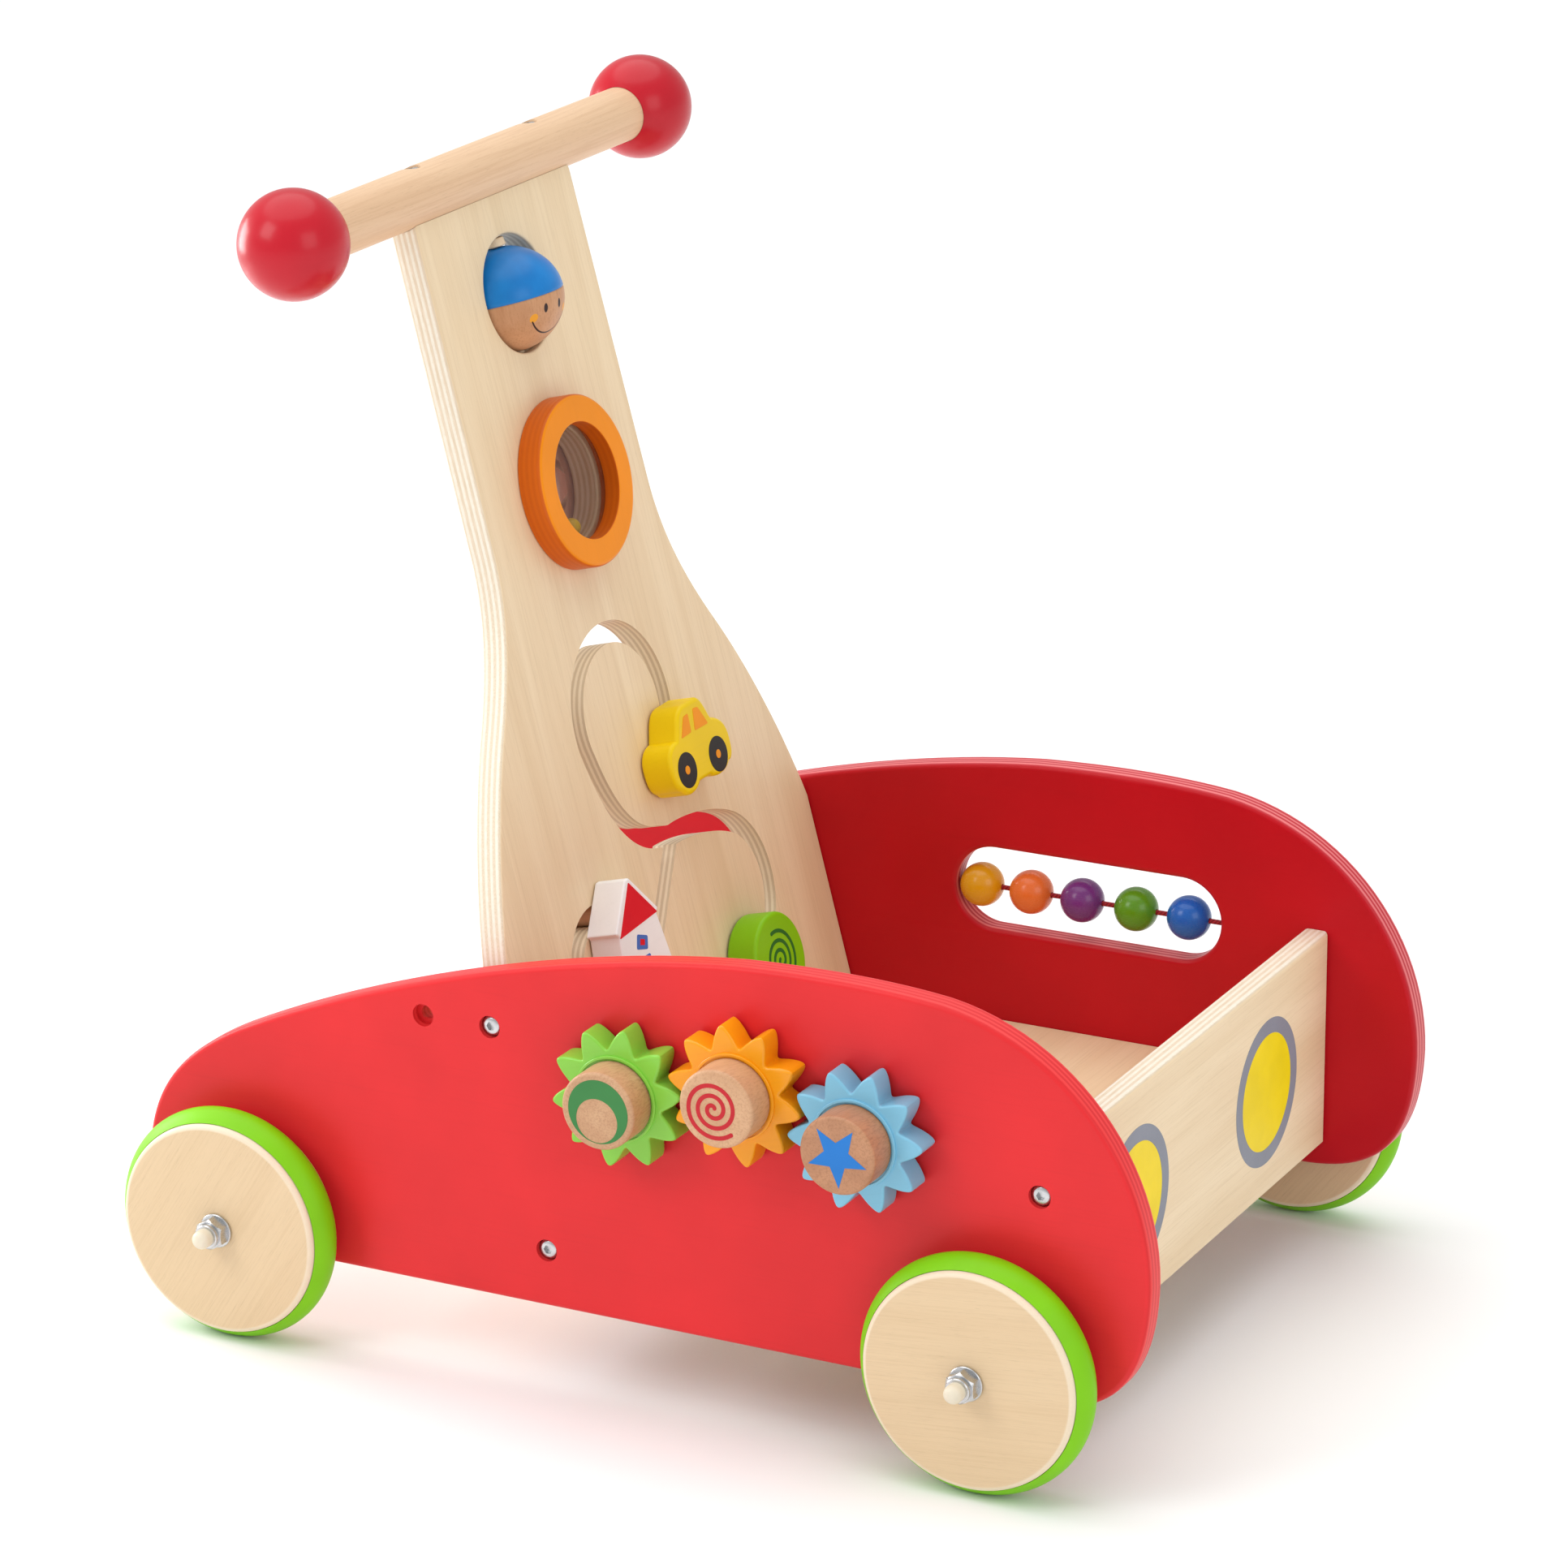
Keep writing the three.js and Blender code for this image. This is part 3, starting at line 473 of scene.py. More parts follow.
def ply_stripes(p, axis, middle, wander):
    """0 to 1 across each ply, and the edge mask, for a sheet whose thickness runs along axis."""
    t = p.minus(p.dot(p.at, axis), middle)
    t = p.plus(t, p.span(wander, 0.3, 0.7, -0.12, 0.12))
    layer = p.math("PINGPONG", p.plus(t, PLY), 1.34)
    facing = p.math("ABSOLUTE", p.dot(p.normal, axis))
    return p.span(layer, 0.35, 0.95, 0.0, 1.0, True), p.span(facing, 0.86, 0.6, 0.0, 1.0, True)


def slot_walls(p):
    """1 well inside the post's outline, where an edge is a slot's wall, and 0 at its outer edges."""
    up = p.minus(p.dot(p.at, V_AXIS), V_AXIS.dot(PLANK.translation))
    reach = p.span(up, -292, -280, 105, 61)
    off = p.minus(reach, p.math("ABSOLUTE", p.dot(p.at, (0, 1, 0))))
    return p.span(off, 0, 1)


def ply_wood(name, axis, middle, grain_axis, offset=0.0, shaded_walls=False):
    """Clear-lacquered birch plywood with banded edges, and darker walls in the post's slots as painted
    shade.
    """
    p = Paint(name)
    figure, streak, pore = grain(p, along(p, grain_axis, offset), 1.2)
    face = p.mix(p.span(figure, 0.3, 0.7, 0.0, 0.8), LIGHT_BIRCH, DARK_BIRCH)
    face = p.mix(p.span(streak, 0.45, 0.72, 0.0, 0.38, True), face, shade(DARK_BIRCH, 0.9))
    face = p.mix(p.span(pore, 0.62, 0.76, 0.0, 0.22, True), face, shade(DARK_BIRCH, 0.6))
    fibre = p.noise(p.at, 0.5, 5.0, 0.7)
    layer, edge = ply_stripes(p, axis, middle, fibre)
    cream = p.mix(p.span(fibre, 0.35, 0.65), rgb(236, 229, 214), rgb(230, 221, 202))
    brown = p.mix(p.span(pore, 0.35, 0.65), rgb(226, 210, 186), rgb(214, 195, 166))
    rim = p.mix(layer, cream, brown)
    if shaded_walls:
        # painted shade: walls inside the post's outline get darker ply colours than its outer edges
        wall_shade = p.mix(layer, rgb(226, 208, 178), rgb(200, 178, 146))
        rim = p.mix(slot_walls(p), rim, wall_shade)
    p.colour(p.mix(edge, face, rim))
    p.rough(p.span(streak, 0.3, 0.7, 0.44, 0.58))
    ridge = p.times(p.times(layer, edge), 0.6)
    p.bump(p.plus(p.times(streak, 0.7), ridge), 0.14)
    p.coat(0.10, 0.4)
    return p.material


def painted(name, colour, roughness=0.40, ply=None, grain_axis=(1, 0, 0), rim=None, coat=0.04, bump=0.08):
    """Satin paint over wood: slight clouding, grain that telegraphs through, ply lines on edges."""
    p = Paint(name)
    _, height, pore = grain(p, along(p, grain_axis), 0.9)
    cloud = p.noise(p.at, 0.02, 3.0, 0.5)
    tone = p.mix(p.span(cloud, 0.3, 0.7), shade(colour, 0.94), shade(colour, 1.05))
    tone = p.mix(p.span(height, 0.5, 0.8, 0.0, 0.16, True), tone, shade(colour, 0.78))
    if ply:
        axis, middle = ply
        layer, edge = ply_stripes(p, axis, middle, cloud)
        tone = p.mix(p.times(edge, 0.85), tone, p.mix(layer, *rim))
        height = p.plus(height, p.times(p.times(layer, edge), 0.8))
    p.colour(tone)
    p.rough(p.span(pore, 0.3, 0.7, roughness - 0.04, roughness + 0.05))
    p.bump(height, bump)
    p.coat(coat, 0.2)
    p.set("Specular IOR Level", 0.2)
    return p.material


def rubber(name, colour):
    """Soft rubber with a fine matt speckle."""
    p = Paint(name)
    speckle = p.noise(p.at, 1.6, 3.0, 0.6)
    cloud = p.noise(p.at, 0.03, 2.0)
    p.colour(p.mix(p.span(cloud, 0.3, 0.7), shade(colour, 0.93), shade(colour, 1.06)))
    p.rough(p.span(speckle, 0.3, 0.7, 0.40, 0.52))
    p.bump(speckle, 0.10, 0.0001)
    p.set("Specular IOR Level", 0.25)
    p.set("Subsurface Weight", 0.06)
    p.set("Subsurface Radius", (0.002, 0.003, 0.001))
    return p.material


def metal(name, tint, roughness):
    """Zinc-plated steel with fine scratches."""
    p = Paint(name)
    scratches = p.noise(p.scaled(p.at, (6.0, 0.7, 6.0)), 1.0, 3.0, 0.6)
    cloud = p.noise(p.at, 0.25, 2.0)
    p.colour(p.mix(p.span(cloud, 0.3, 0.7), shade(tint, 0.85), tint))
    p.rough(p.span(scratches, 0.3, 0.7, roughness - 0.06, roughness + 0.10))
    p.bump(scratches, 0.08, 0.00005)
    p.set("Metallic", 1.0)
    return p.material


def plastic(name, colour, roughness):
    """Moulded plastic that lets a little light in."""
    p = Paint(name)
    cloud = p.noise(p.at, 0.12, 3.0)
    fine = p.noise(p.at, 3.0, 2.0)
    p.colour(p.mix(p.span(cloud, 0.3, 0.7), shade(colour, 0.94), shade(colour, 1.03)))
    p.rough(p.span(fine, 0.3, 0.7, roughness - 0.03, roughness + 0.06))
    p.bump(fine, 0.05, 0.00005)
    p.set("Subsurface Weight", 0.1)
    p.set("Subsurface Radius", (0.002, 0.0015, 0.001))
    return p.material


def clear(name):
    """Thin pane: mostly see-through, with faint smears in its reflections; its dark brown tint is partly
    the plastic's own smoky tint and partly painted shade for the bore behind it.
    """
    p = Paint(name)
    smear = p.noise(p.at, 0.08, 3.0)
    # dark brown tint: partly the plastic's own, partly painted shade for the bore seen through it
    p.colour(p.mix(p.span(smear, 0.3, 0.7), rgb(112, 78, 66), rgb(134, 98, 84)))
    p.rough(p.span(smear, 0.35, 0.75, 0.03, 0.09))
    p.set("Alpha", 0.2)
    return p.material


def mirror_film(name):
    """Warm-tinted mirror film: soft reflections, slightly wavy."""
    p = Paint(name)
    wave = p.noise(p.at, 0.09, 3.0)
    streak = p.noise(p.scaled(p.at, (0.25, 0.25, 0.02)), 1.0, 3.0)
    p.colour(p.mix(p.span(streak, 0.35, 0.65), rgb(236, 190, 166), rgb(204, 152, 132)))
    p.rough(p.span(wave, 0.3, 0.7, 0.10, 0.18))
    p.bump(wave, 0.2, 0.0003)
    p.set("Metallic", 0.6)
    return p.material


def braid(name, colour):
    """Twisted cord: fine slanting strands, darker in the grooves between them as painted shade and lighter
    on their crowns as painted highlight.
    """
    p = Paint(name)
    split = p.add("ShaderNodeSeparateXYZ")
    p.feed(split.inputs[0], p.at)
    dy = p.minus(split.outputs[1], MID_Y)
    dz = p.minus(split.outputs[2], BEAD_Z)
    turn = p.math("ARCTAN2", dz, dy)
    advance = p.times(split.outputs[0], 3.4)
    strand = p.math("SINE", p.plus(p.times(turn, 3.0), advance))
    # painted shade in the grooves between strands, painted highlight on their crowns
    p.colour(p.mix(p.span(strand, -1.0, 1.0), shade(colour, 0.55), shade(colour, 1.2)))
    p.rough(p.span(strand, -1.0, 1.0, 0.85, 0.65))
    p.bump(strand, 0.5, 0.0002)
    return p.material


def print_ink(name, colour):
    """Screen print: dense colour with the faint grain of the wood under it."""
    p = Paint(name)
    speck = p.noise(p.at, 1.1, 4.0, 0.65)
    cloud = p.noise(p.at, 0.05, 2.0)
    tone = p.mix(p.span(cloud, 0.3, 0.7), shade(colour, 0.94), shade(colour, 1.04))
    p.colour(p.mix(p.span(speck, 0.62, 0.8, 0.0, 0.18, True), tone, shade(colour, 0.7)))
    p.rough(p.span(speck, 0.3, 0.7, 0.38, 0.47))
    p.bump(speck, 0.05, 0.0001)
    p.set("Specular IOR Level", 0.2)
    return p.material


LIGHT_BIRCH, DARK_BIRCH = rgb(240, 218, 182), rgb(226, 199, 158)
LIGHT_BEECH, DARK_BEECH = rgb(228, 192, 154), rgb(206, 162, 122)
# The second red is the right panel's paint darkened: painted shade on the left panel, which has the same
# paint as the right.
RED, SHADED_RED = rgb(222, 44, 48), rgb(188, 8, 26)
POST_MIDDLE = N_AXIS.dot(Vector((BAR_X, 0, BAR_Z)))

MAT = {
    "right_panel": painted("red_paint_right", RED, ply=((0, 1, 0), -MID_Y),
                           rim=(rgb(232, 66, 66), rgb(212, 40, 44))),
    # painted shade: the left panel gets the darkened red, standing for the shade on its inner face
    "left_panel": painted("red_paint_left_shaded", SHADED_RED, ply=((0, 1, 0), MID_Y),
                          rim=(rgb(228, 124, 126), rgb(186, 44, 54))),
    "post": ply_wood("birch_post", N_AXIS, POST_MIDDLE, V_AXIS, shaded_walls=True),
    "front": ply_wood("birch_front", (1, 0, 0), FRONT_MID_X, (0, 1, 0), 31.0),
    "floor_board": ply_wood("birch_floor", (0, 0, 1), (FLOOR_TOP + FLOOR_BOTTOM) / 2, (0, 1, 0), 57.0),
    "bar": wood("beech_bar", LIGHT_BEECH, DARK_BEECH, (0, 1, 0), 0.48, 0.55),
    "pin": wood("beech_pin", LIGHT_BIRCH, LIGHT_BEECH, V_AXIS, 0.5, 0.6),
    "peg": wood("beech_peg", LIGHT_BEECH, DARK_BEECH, N_AXIS, 0.5),
    "ball": painted("ball_red", rgb(190, 16, 36), 0.34, grain_axis=(0, 1, 0), coat=0.3, bump=0.04),
    "tyre": rubber("tyre_green", rgb(126, 200, 6)),
    "steel": metal("zinc_steel", (0.62, 0.63, 0.64, 1.0), 0.28),
    "axle_cap": plastic("ivory_cap", rgb(226, 216, 194), 0.34),
    "clear": clear("clear_acrylic"),
    "mirror": mirror_film("facet_mirror_film"),
    "cord": braid("red_cord", rgb(165, 20, 34)),
    # The ring's rim colours, darker and redder than its face, are partly ply under the paint and partly
    # painted shade on its sides and bore.
    "ring": painted("ring_orange", rgb(238, 140, 0), 0.4, (N_AXIS, POST_MIDDLE), V_AXIS,
                    (rgb(206, 90, 14), rgb(198, 82, 12))),
    "ring_rear": painted("ring_yellow", rgb(240, 208, 4), 0.4, (N_AXIS, POST_MIDDLE), V_AXIS,
                         (rgb(232, 194, 6), rgb(216, 176, 6))),
    "car": painted("car_yellow", rgb(238, 204, 0), 0.38, grain_axis=(0, 1, 0)),
    "house": painted("house_white", rgb(244, 243, 242), 0.4, grain_axis=(0, 1, 0)),
    "spiral": painted("spiral_green", rgb(132, 196, 16), 0.36, grain_axis=(0, 1, 0)),
}

INK = {word: print_ink("ink_" + word, rgb(*screen)) for word, screen in {
    "grey": (134, 138, 150), "yellow": (242, 214, 4), "dark_green": (62, 128, 70),
    "red": (192, 38, 48), "blue": (40, 120, 200), "black": (38, 34, 32), "orange": (240, 150, 10),
    "house_red": (220, 16, 34), "house_blue": (70, 112, 190), "spiral_green": (40, 110, 40)}.items()}


# --- side panels ---
SIDE_OUTLINE = path(
    (-194, 34), [(178, 34)],
    [(214, 34), (230.4, 50), (231.45, 92)],
    [(231.45, 142), (195, 187), (142, 195.5)],
    [(114, 199), (82, 198.7), (52, 197)],
    [(-28, 190), (-118, 163), (-181, 132)],
    [(-211, 117), (-225, 100), (-229, 76)],
    [(-232, 52), (-216, 34), (-194, 34)])


def post_mid_x(z):
    return BAR_X + (BAR_Z - z) * tan(LEAN)


PANEL_SCREWS = {
    "upper": (post_mid_x(152.4), 152.4),
    "lower": (post_mid_x(58.9), 58.9),
    "front": (184.2, 123.3),
}
SPARE_HOLE = (-92.85, 152.3)
SPARE_BORE_R = 2.9
COUNTERBORE, COUNTERBORE_R = 4.0, 4.8
SCREW_HEAD_R = 4.5


def side_panel(word, side):
    loops = [SIDE_OUTLINE] + ([stadium(*SLOT)] if word == "left" else [])
    o = plate(word + "_side", loops, PLY, 2.4)
    face, past = PLY / 2, PLY / 2 + 2
    cutters = []
    for x, z in list(PANEL_SCREWS.values()) + [SPARE_HOLE]:
        cutters.append(rod((x, z, -side * (face - COUNTERBORE)), (x, z, -side * past), COUNTERBORE_R))
    x, z = SPARE_HOLE
    cutters.append(rod((x, z, -past), (x, z, past), SPARE_BORE_R))
    carve(o, *cutters)
    finish(o, word + "_side_board", upright(side * MID_Y), "frame",
           MAT[word + "_panel"], [word + "_side_panel"])


for word, side in SIDES.items():
    side_panel(word, side)


# --- front panel and tray floor ---
def front_board():
    outline = [(-CROSS, FRONT_LOW), (CROSS, FRONT_LOW), (CROSS, FRONT_HIGH), (-CROSS, FRONT_HIGH)]
    o = plate("front", [outline], PLY, 2.6, 4)
    finish(o, "front_board", facing_front(FRONT_MID_X, 0, 0), "frame",
           MAT["front"], ["front_panel"])


def tray_board():
    half = PLY / 2 / cos(LEAN) + GAP
    end = FRONT_X - PLY - GAP
    outline = [(post_mid_x(FLOOR_BOTTOM) + half, FLOOR_BOTTOM), (end, FLOOR_BOTTOM),
               (end, FLOOR_TOP), (post_mid_x(FLOOR_TOP) + half, FLOOR_TOP)]
    o = plate("tray", [outline], 2 * CROSS, 0.4, 1)
    finish(o, "tray_board", upright(0), "frame", MAT["floor_board"], ["floor_board"])


front_board()
tray_board()


def decal(name, loops, place, body, slot, ink, proud=0.12):
    """Printed shape as a very thin sheet, sunk a little into its surface."""
    o = plate(name, loops, proud * 2, 0.04, 1)
    finish(o, name, place, body, ink)


HEADLIGHT_Y, HEADLIGHT_Z = 67.0, 92.5
HEADLIGHT_R, HEADLIGHT_GLOW_R = 32.3, 25.5
for word, side in SIDES.items():
    face = facing_front(FRONT_X, side * HEADLIGHT_Y, HEADLIGHT_Z)
    ring = [circle(0, 0, HEADLIGHT_R), circle(0, 0, HEADLIGHT_GLOW_R + 0.1)]
    decal("headlight_ring_" + word, ring, face, "frame", "birch_ply", INK["grey"])
    glow = [circle(0, 0, HEADLIGHT_GLOW_R)]
    decal("headlight_glow_" + word, glow, face, "frame", "birch_ply", INK["yellow"])


# --- activity post ---
# Round stretches of the track slot: centre, radius and the angle at their free end, where a peg rests.
LOOP = (0, -236, 35.3, -36)
ARCH = (51, -332.5, 32, -88)
HOOK = (-59.5, -329, 22, 70)
LOOP_END, ARCH_START, HOOK_END = 200, 62, 270
DIP, FORK, BRANCH = (2, -291.3), (14, -294.3), (-11.4, -325)
BAR_FIT = 0.15


def on_arc(stretch, angle):
    return polar(stretch[2], radians(angle), *stretch[:2])


PEGS = {"car": on_arc(LOOP, LOOP[3]), "house": on_arc(HOOK, HOOK[3]), "spiral": on_arc(ARCH, ARCH[3])}


def track_lines():
    """Middle lines of the main track slot and of its branch to the hook."""
    main = arc(*LOOP[:3], LOOP[3], LOOP_END, 48)
    main += bezier(on_arc(LOOP, LOOP_END), (-26, -276), (-12, -288.5), DIP)[1:]
    main += bezier(DIP, (6.5, -292.2), (9.5, -294.1), FORK, 8)
    main += bezier(FORK, (26, -293.6), (50, -296.3), on_arc(ARCH, ARCH_START))
    main += arc(*ARCH[:3], ARCH_START, ARCH[3], 36)
    side = arc(*HOOK[:3], HOOK[3], HOOK_END, 36)
    side += bezier(on_arc(HOOK, HOOK_END), (-38, -351), (-26, -342), BRANCH)[1:]
    side += [BRANCH, (13, -296)]
    return main, side


def activity_post():
    half = [(CROSS, POST_FOOT), (CROSS, -312)]
    half += bezier((CROSS, -312), (124, -275), (106, -240), (92.7, -220))[1:]
    half += bezier((92.7, -220), (80, -201), (66.6, -178), (66, -150))
    half += [(66, -150), (64, -13)] + arc(60, -13, 4, 0, 90, 6)[1:]
    outline = half + [(-x, y) for x, y in reversed(half)]
    o = plate("post", [outline, circle(0, HEAD_HOLE_V, HEAD_HOLE_R), circle(0, RING_V, RING_BORE_R)],
              PLY, 1.2)
    for line in track_lines():
        carve(o, plate("track", [ribbon(line, TRACK_W)], PLY + 4, 0.1, 0))
    carve(o, rod((-70, 0, 0), (70, 0, 0), BAR_R + BAR_FIT, 96))
    finish(o, "activity_post", PLANK, "frame", MAT["post"], ["handle_post"])


activity_post()


# --- push bar, balls and screws ---
BAR_SCREW_DEEP = 3.6


def push_bar():
    e = 2.0
    profile = [(0, -BAR_HALF)] + arc(BAR_R - e, e - BAR_HALF, e, -90, 0)
    profile += arc(BAR_R - e, BAR_HALF - e, e, 0, 90) + [(0, BAR_HALF)]
    o = lathe("bar", profile)
    o.data.transform(facing_left(0, 0, 0))
    low, high = V_AXIS * (BAR_R - BAR_SCREW_DEEP), V_AXIS * (BAR_R + 4)
    for y in (-BAR_SCREW_Y, BAR_SCREW_Y):
        at = Vector((0, y, 0))
        carve(o, rod(at + low, at + high, COUNTERBORE_R))
    finish(o, "push_bar", Matrix.Translation((BAR_X, 0, BAR_Z)), "frame",
           MAT["bar"], ["handle_bar"])


def bar_ball(word, side):
    bore = BAR_R + BAR_FIT
    start = degrees(asin(bore / BALL_R))
    deep = BAR_HALF - BALL_Y + GAP
    steps = 40
    angles = [radians(start + (180 - start) * i / steps) for i in range(steps)]
    profile = [(0, deep), (bore, deep)]
    profile += [(BALL_R * sin(a), -BALL_R * cos(a)) for a in angles] + [(0, BALL_R)]
    o = lathe("ball", profile, 80)
    finish(o, "bar_ball_" + word, outward(side, BAR_X, side * BALL_Y, BAR_Z), "frame",
           MAT["ball"], ["handle_ball_" + word], 40)


push_bar()
for word, side in SIDES.items():
    bar_ball(word, side)


def button_screw(name, place, node):
    """Button head with a hexagon socket; its shank stays out of sight in the wood."""
    r = SCREW_HEAD_R
    profile = [(0, -6), (2.4, -6), (2.4, 0), (r - 0.2, 0), (r, 0.2), (r, 1.1)]
    profile += [(r - 0.3, 1.7), (r - 0.8, 2.2), (r - 1.5, 2.55), (0, 2.8)]
    o = lathe("screw", profile, 64)
    socket = lathe("socket", [(0, 1.0), (2, 1.0), (2, 5), (0, 5)], 6)
    carve(o, socket)
    finish(o, name, place, "frame", MAT["steel"], [node])


for word, side in SIDES.items():
    for key, (x, z) in PANEL_SCREWS.items():
        place = outward(side, x, side * (OUTER_Y - COUNTERBORE + GAP), z)
        button_screw(f"screw_{word}_{key}", place, f"panel_screw_{word}_{key}")
    seat = on_plank(side * BAR_SCREW_Y, BAR_R - BAR_SCREW_DEEP + GAP, 0)
    button_screw("screw_bar_" + word, seat @ UPWARD, "bar_screw_" + word)


# --- wheels ---
def rounded_tube(inner, outer, half, r, bevel=0.4):
    """Closed profile of a ring with rounded outer edges and a bevelled bore."""
    return ([(inner, -half + bevel), (inner + bevel, -half)]
            + arc(outer - r, r - half, r, -90, 0, 6)
            + arc(outer - r, half - r, r, 0, 90, 6)
            + [(inner + bevel, half), (inner, half - bevel)])


def tyre_profile():
    """Convex tread from the disc's rim up to its crown on the middle plane."""
    inner = DISC_R + 0.1
    back = bezier((inner + 0.2, -8), (47.9, -6.4), (WHEEL_R, -3.6), (WHEEL_R, 0), 12)
    front = [(r, -h) for r, h in back[::-1]]
    return [(inner, -7.8)] + back + [(WHEEL_R, 0)] + front + [(inner, 7.8)]


def wheel(end, word, side, angle):
    body = f"wheel_{end}_{word}"
    x = AXLE_X[end]
    place = outward(side, x, side * (WHEEL_FACE_Y - WHEEL_T / 2), WHEEL_R)
    direction = (cos(angle), 0, sin(angle))
    birch = wood("wheel_wood_" + body, rgb(224, 197, 158), rgb(211, 180, 138), direction,
                 contrast=0.5, fine=1.5, offset=angle * 40, hub=(x, 0, WHEEL_R))
    disc = lathe("disc", rounded_tube(AXLE_R + GAP, DISC_R, WHEEL_T / 2, 2.3), 128)
    finish(disc, "disc_" + body, place, body, birch, [f"wheel_disc_{end}_{word}"], 40)
    band = lathe("tyre", tyre_profile(), 128)
    finish(band, "tyre_band_" + body, place, body, MAT["tyre"],
           [f"tyre_{end}_{word}"], 50)


def axle(end):
    """Axle rod with a bevelled spacer collar between each side panel and its wheel."""
    last, bevel, chamfer = WHEEL_FACE_Y + 5.4, 0.4, 0.6
    near, far = OUTER_Y + GAP, WHEEL_FACE_Y - WHEEL_T - GAP
    half = [(AXLE_R, near), (COLLAR_R - bevel, near), (COLLAR_R, near + bevel),
            (COLLAR_R, far - bevel), (COLLAR_R - bevel, far), (AXLE_R, far),
            (AXLE_R, last - chamfer), (AXLE_R - chamfer, last), (0, last)]
    o = lathe("axle", [(r, -h) for r, h in half[::-1]] + half, 48)
    finish(o, "axle_rod_" + end, facing_left(AXLE_X[end], 0, WHEEL_R), "frame",
           MAT["steel"], ["axle_" + end])


def axle_end(end, word, side):
    """Flanged hexagon nut with a round collar and an ivory dome let into it."""
    place = outward(side, AXLE_X[end], side * WHEEL_FACE_Y, WHEEL_R)
    tip, top, bore = NUT_TIP_Y - WHEEL_FACE_Y, 6.7, AXLE_R + 0.2
    hexagon = lathe("nut", [(bore, 1.2), (6.9, 1.2), (6.9, top), (bore, top)], 6, pi / 6)
    cone = lathe("cone", [(0, 1.0), (6.8, 1.0), (7.0, 1.4), (7.0, 5.6), (5.9, top), (0, top)], 64)
    flange = lathe("flange", [(bore, GAP), (7.1, GAP), (7.4, 0.6), (7.4, 1.2), (7.1, 1.5), (bore, 1.5)], 64)
    collar = lathe("collar", [(0, 6.0), (5.3, 6.0), (5.3, 8.5), (4.9, 8.9), (0, 8.9)], 48)
    carve(hexagon, cone, operation="INTERSECT")
    carve(hexagon, flange, collar, operation="UNION")
    finish(hexagon, f"nut_{end}_{word}", place, "frame", MAT["steel"],
           [f"axle_nut_{end}_{word}"], 20, False)
    rise, steps = 3.4, 10
    angles = [pi / 2 * i / steps for i in range(steps)]
    curve = [(AXLE_R * cos(a), tip - rise + rise * sin(a)) for a in angles]
    dome = lathe("dome", [(0, 8.0), (AXLE_R, 8.0)] + curve + [(0, tip)], 48)
    finish(dome, f"dome_{end}_{word}", place, "frame", MAT["axle_cap"], (), 40)


for number, end in enumerate(("front", "rear")):
    axle(end)
    for word, side in SIDES.items():
        wheel(end, word, side, 0.5 + 0.9 * number + 0.4 * side)
        axle_end(end, word, side)


# --- gears and knobs ---
def next_gear(centre, rise):
    """Centre of the gear in mesh with one at centre, seen at the angle rise from it."""
    return polar(GEAR_PITCH, radians(rise), *centre)


GEARS = {"green": (4.05, 137.5)}
GEARS["orange"] = next_gear(GEARS["green"], 10.9)
GEARS["blue"] = next_gear(GEARS["orange"], -10.7)
PHASE = {"green": 10.9, "orange": 172.9, "blue": 147.7}
GEAR_PAINT = {"green": rgb(134, 204, 70), "orange": rgb(240, 156, 12), "blue": rgb(126, 190, 218)}
KNOB_WOOD = {"green": (rgb(206, 164, 124), rgb(180, 130, 92)),
             "orange": (rgb(214, 170, 130), rgb(192, 142, 102)),
             "blue": (rgb(190, 136, 98), rgb(164, 112, 78))}
TEETH = 10


def gear_outline(phase):
    """Softened triangle wave between root and tip circles."""
    round_off, steps = 0.88, 24
    points = []
    for i in range(TEETH * steps):
        a = 2 * pi * i / (TEETH * steps)
        wave = asin(round_off * cos(TEETH * a)) / asin(round_off)
        r = GEAR_ROOT + (GEAR_TIP - GEAR_ROOT) * (1 + wave) / 2
        points.append(polar(r, a + phase))
    return points


def gear_set(colour):
    """Gear with a low lip round its knob, and the knob; gives the knob's end face and its body."""
    cx, cz = GEARS[colour]
    body = "gear_" + colour
    face = GEAR_T / 2
    place = Matrix.Translation((cx, 0, cz)) @ upright(-(OUTER_Y + GEAR_GAP + face))
    loops = [gear_outline(radians(PHASE[colour])), circle(0, 0, GEAR_BORE_R, 32)]
    o = plate("gear", loops, GEAR_T, 1.1, 3)
    inner, outer, r = 17.4, 18.5, 0.4
    lip = lathe("lip", [(inner, face - 1), (outer, face - 1), (outer, face + 0.5)]
                + arc(outer - r, face + 0.6, r, 0, 90, 3) + [(inner, face + 1.0)])
    carve(o, lip, operation="UNION")
    paint = painted("gear_paint_" + colour, GEAR_PAINT[colour], 0.33, grain_axis=(1, 0, 0.3), coat=0.4)
    finish(o, "gear_wheel_" + colour, place, body, paint,
           ["gear_" + colour], 28)
    low, high, r, wall_shade = face + 0.2, KNOB_TOP - GEAR_GAP - face, 1.6, 5
    knob = lathe("knob", [(0, high - wall_shade), (GEAR_BORE_R, high - wall_shade), (GEAR_BORE_R, low), (KNOB_R, low)]
                 + arc(KNOB_R - r, high - r, r, 0, 90, 6) + [(0, high)])
    turned_wood = wood("knob_wood_" + colour, *KNOB_WOOD[colour], (0.3, 1, 0.1),
                       contrast=1.2, fine=1.3, offset=cx)
    finish(knob, "knob_turned_" + colour, place, body, turned_wood, ["knob_" + colour], 40)
    return place @ Matrix.Translation((0, 0, high)), body


def spiral_line(inner, outer, turns, start, steps=40):
    """Spiral from radius inner at the angle start, widening evenly to outer."""
    points = []
    count = int(turns * steps)
    for i in range(count + 1):
        t = i / count
        a = radians(start) + 2 * pi * turns * t
        points.append(polar(inner + (outer - inner) * t, a))
    return points


def star_outline(outer, inner, turn):
    """Five-pointed star whose first point is at the angle turn."""
    return [polar(inner if k % 2 else outer, radians(turn + 36 * k)) for k in range(10)]


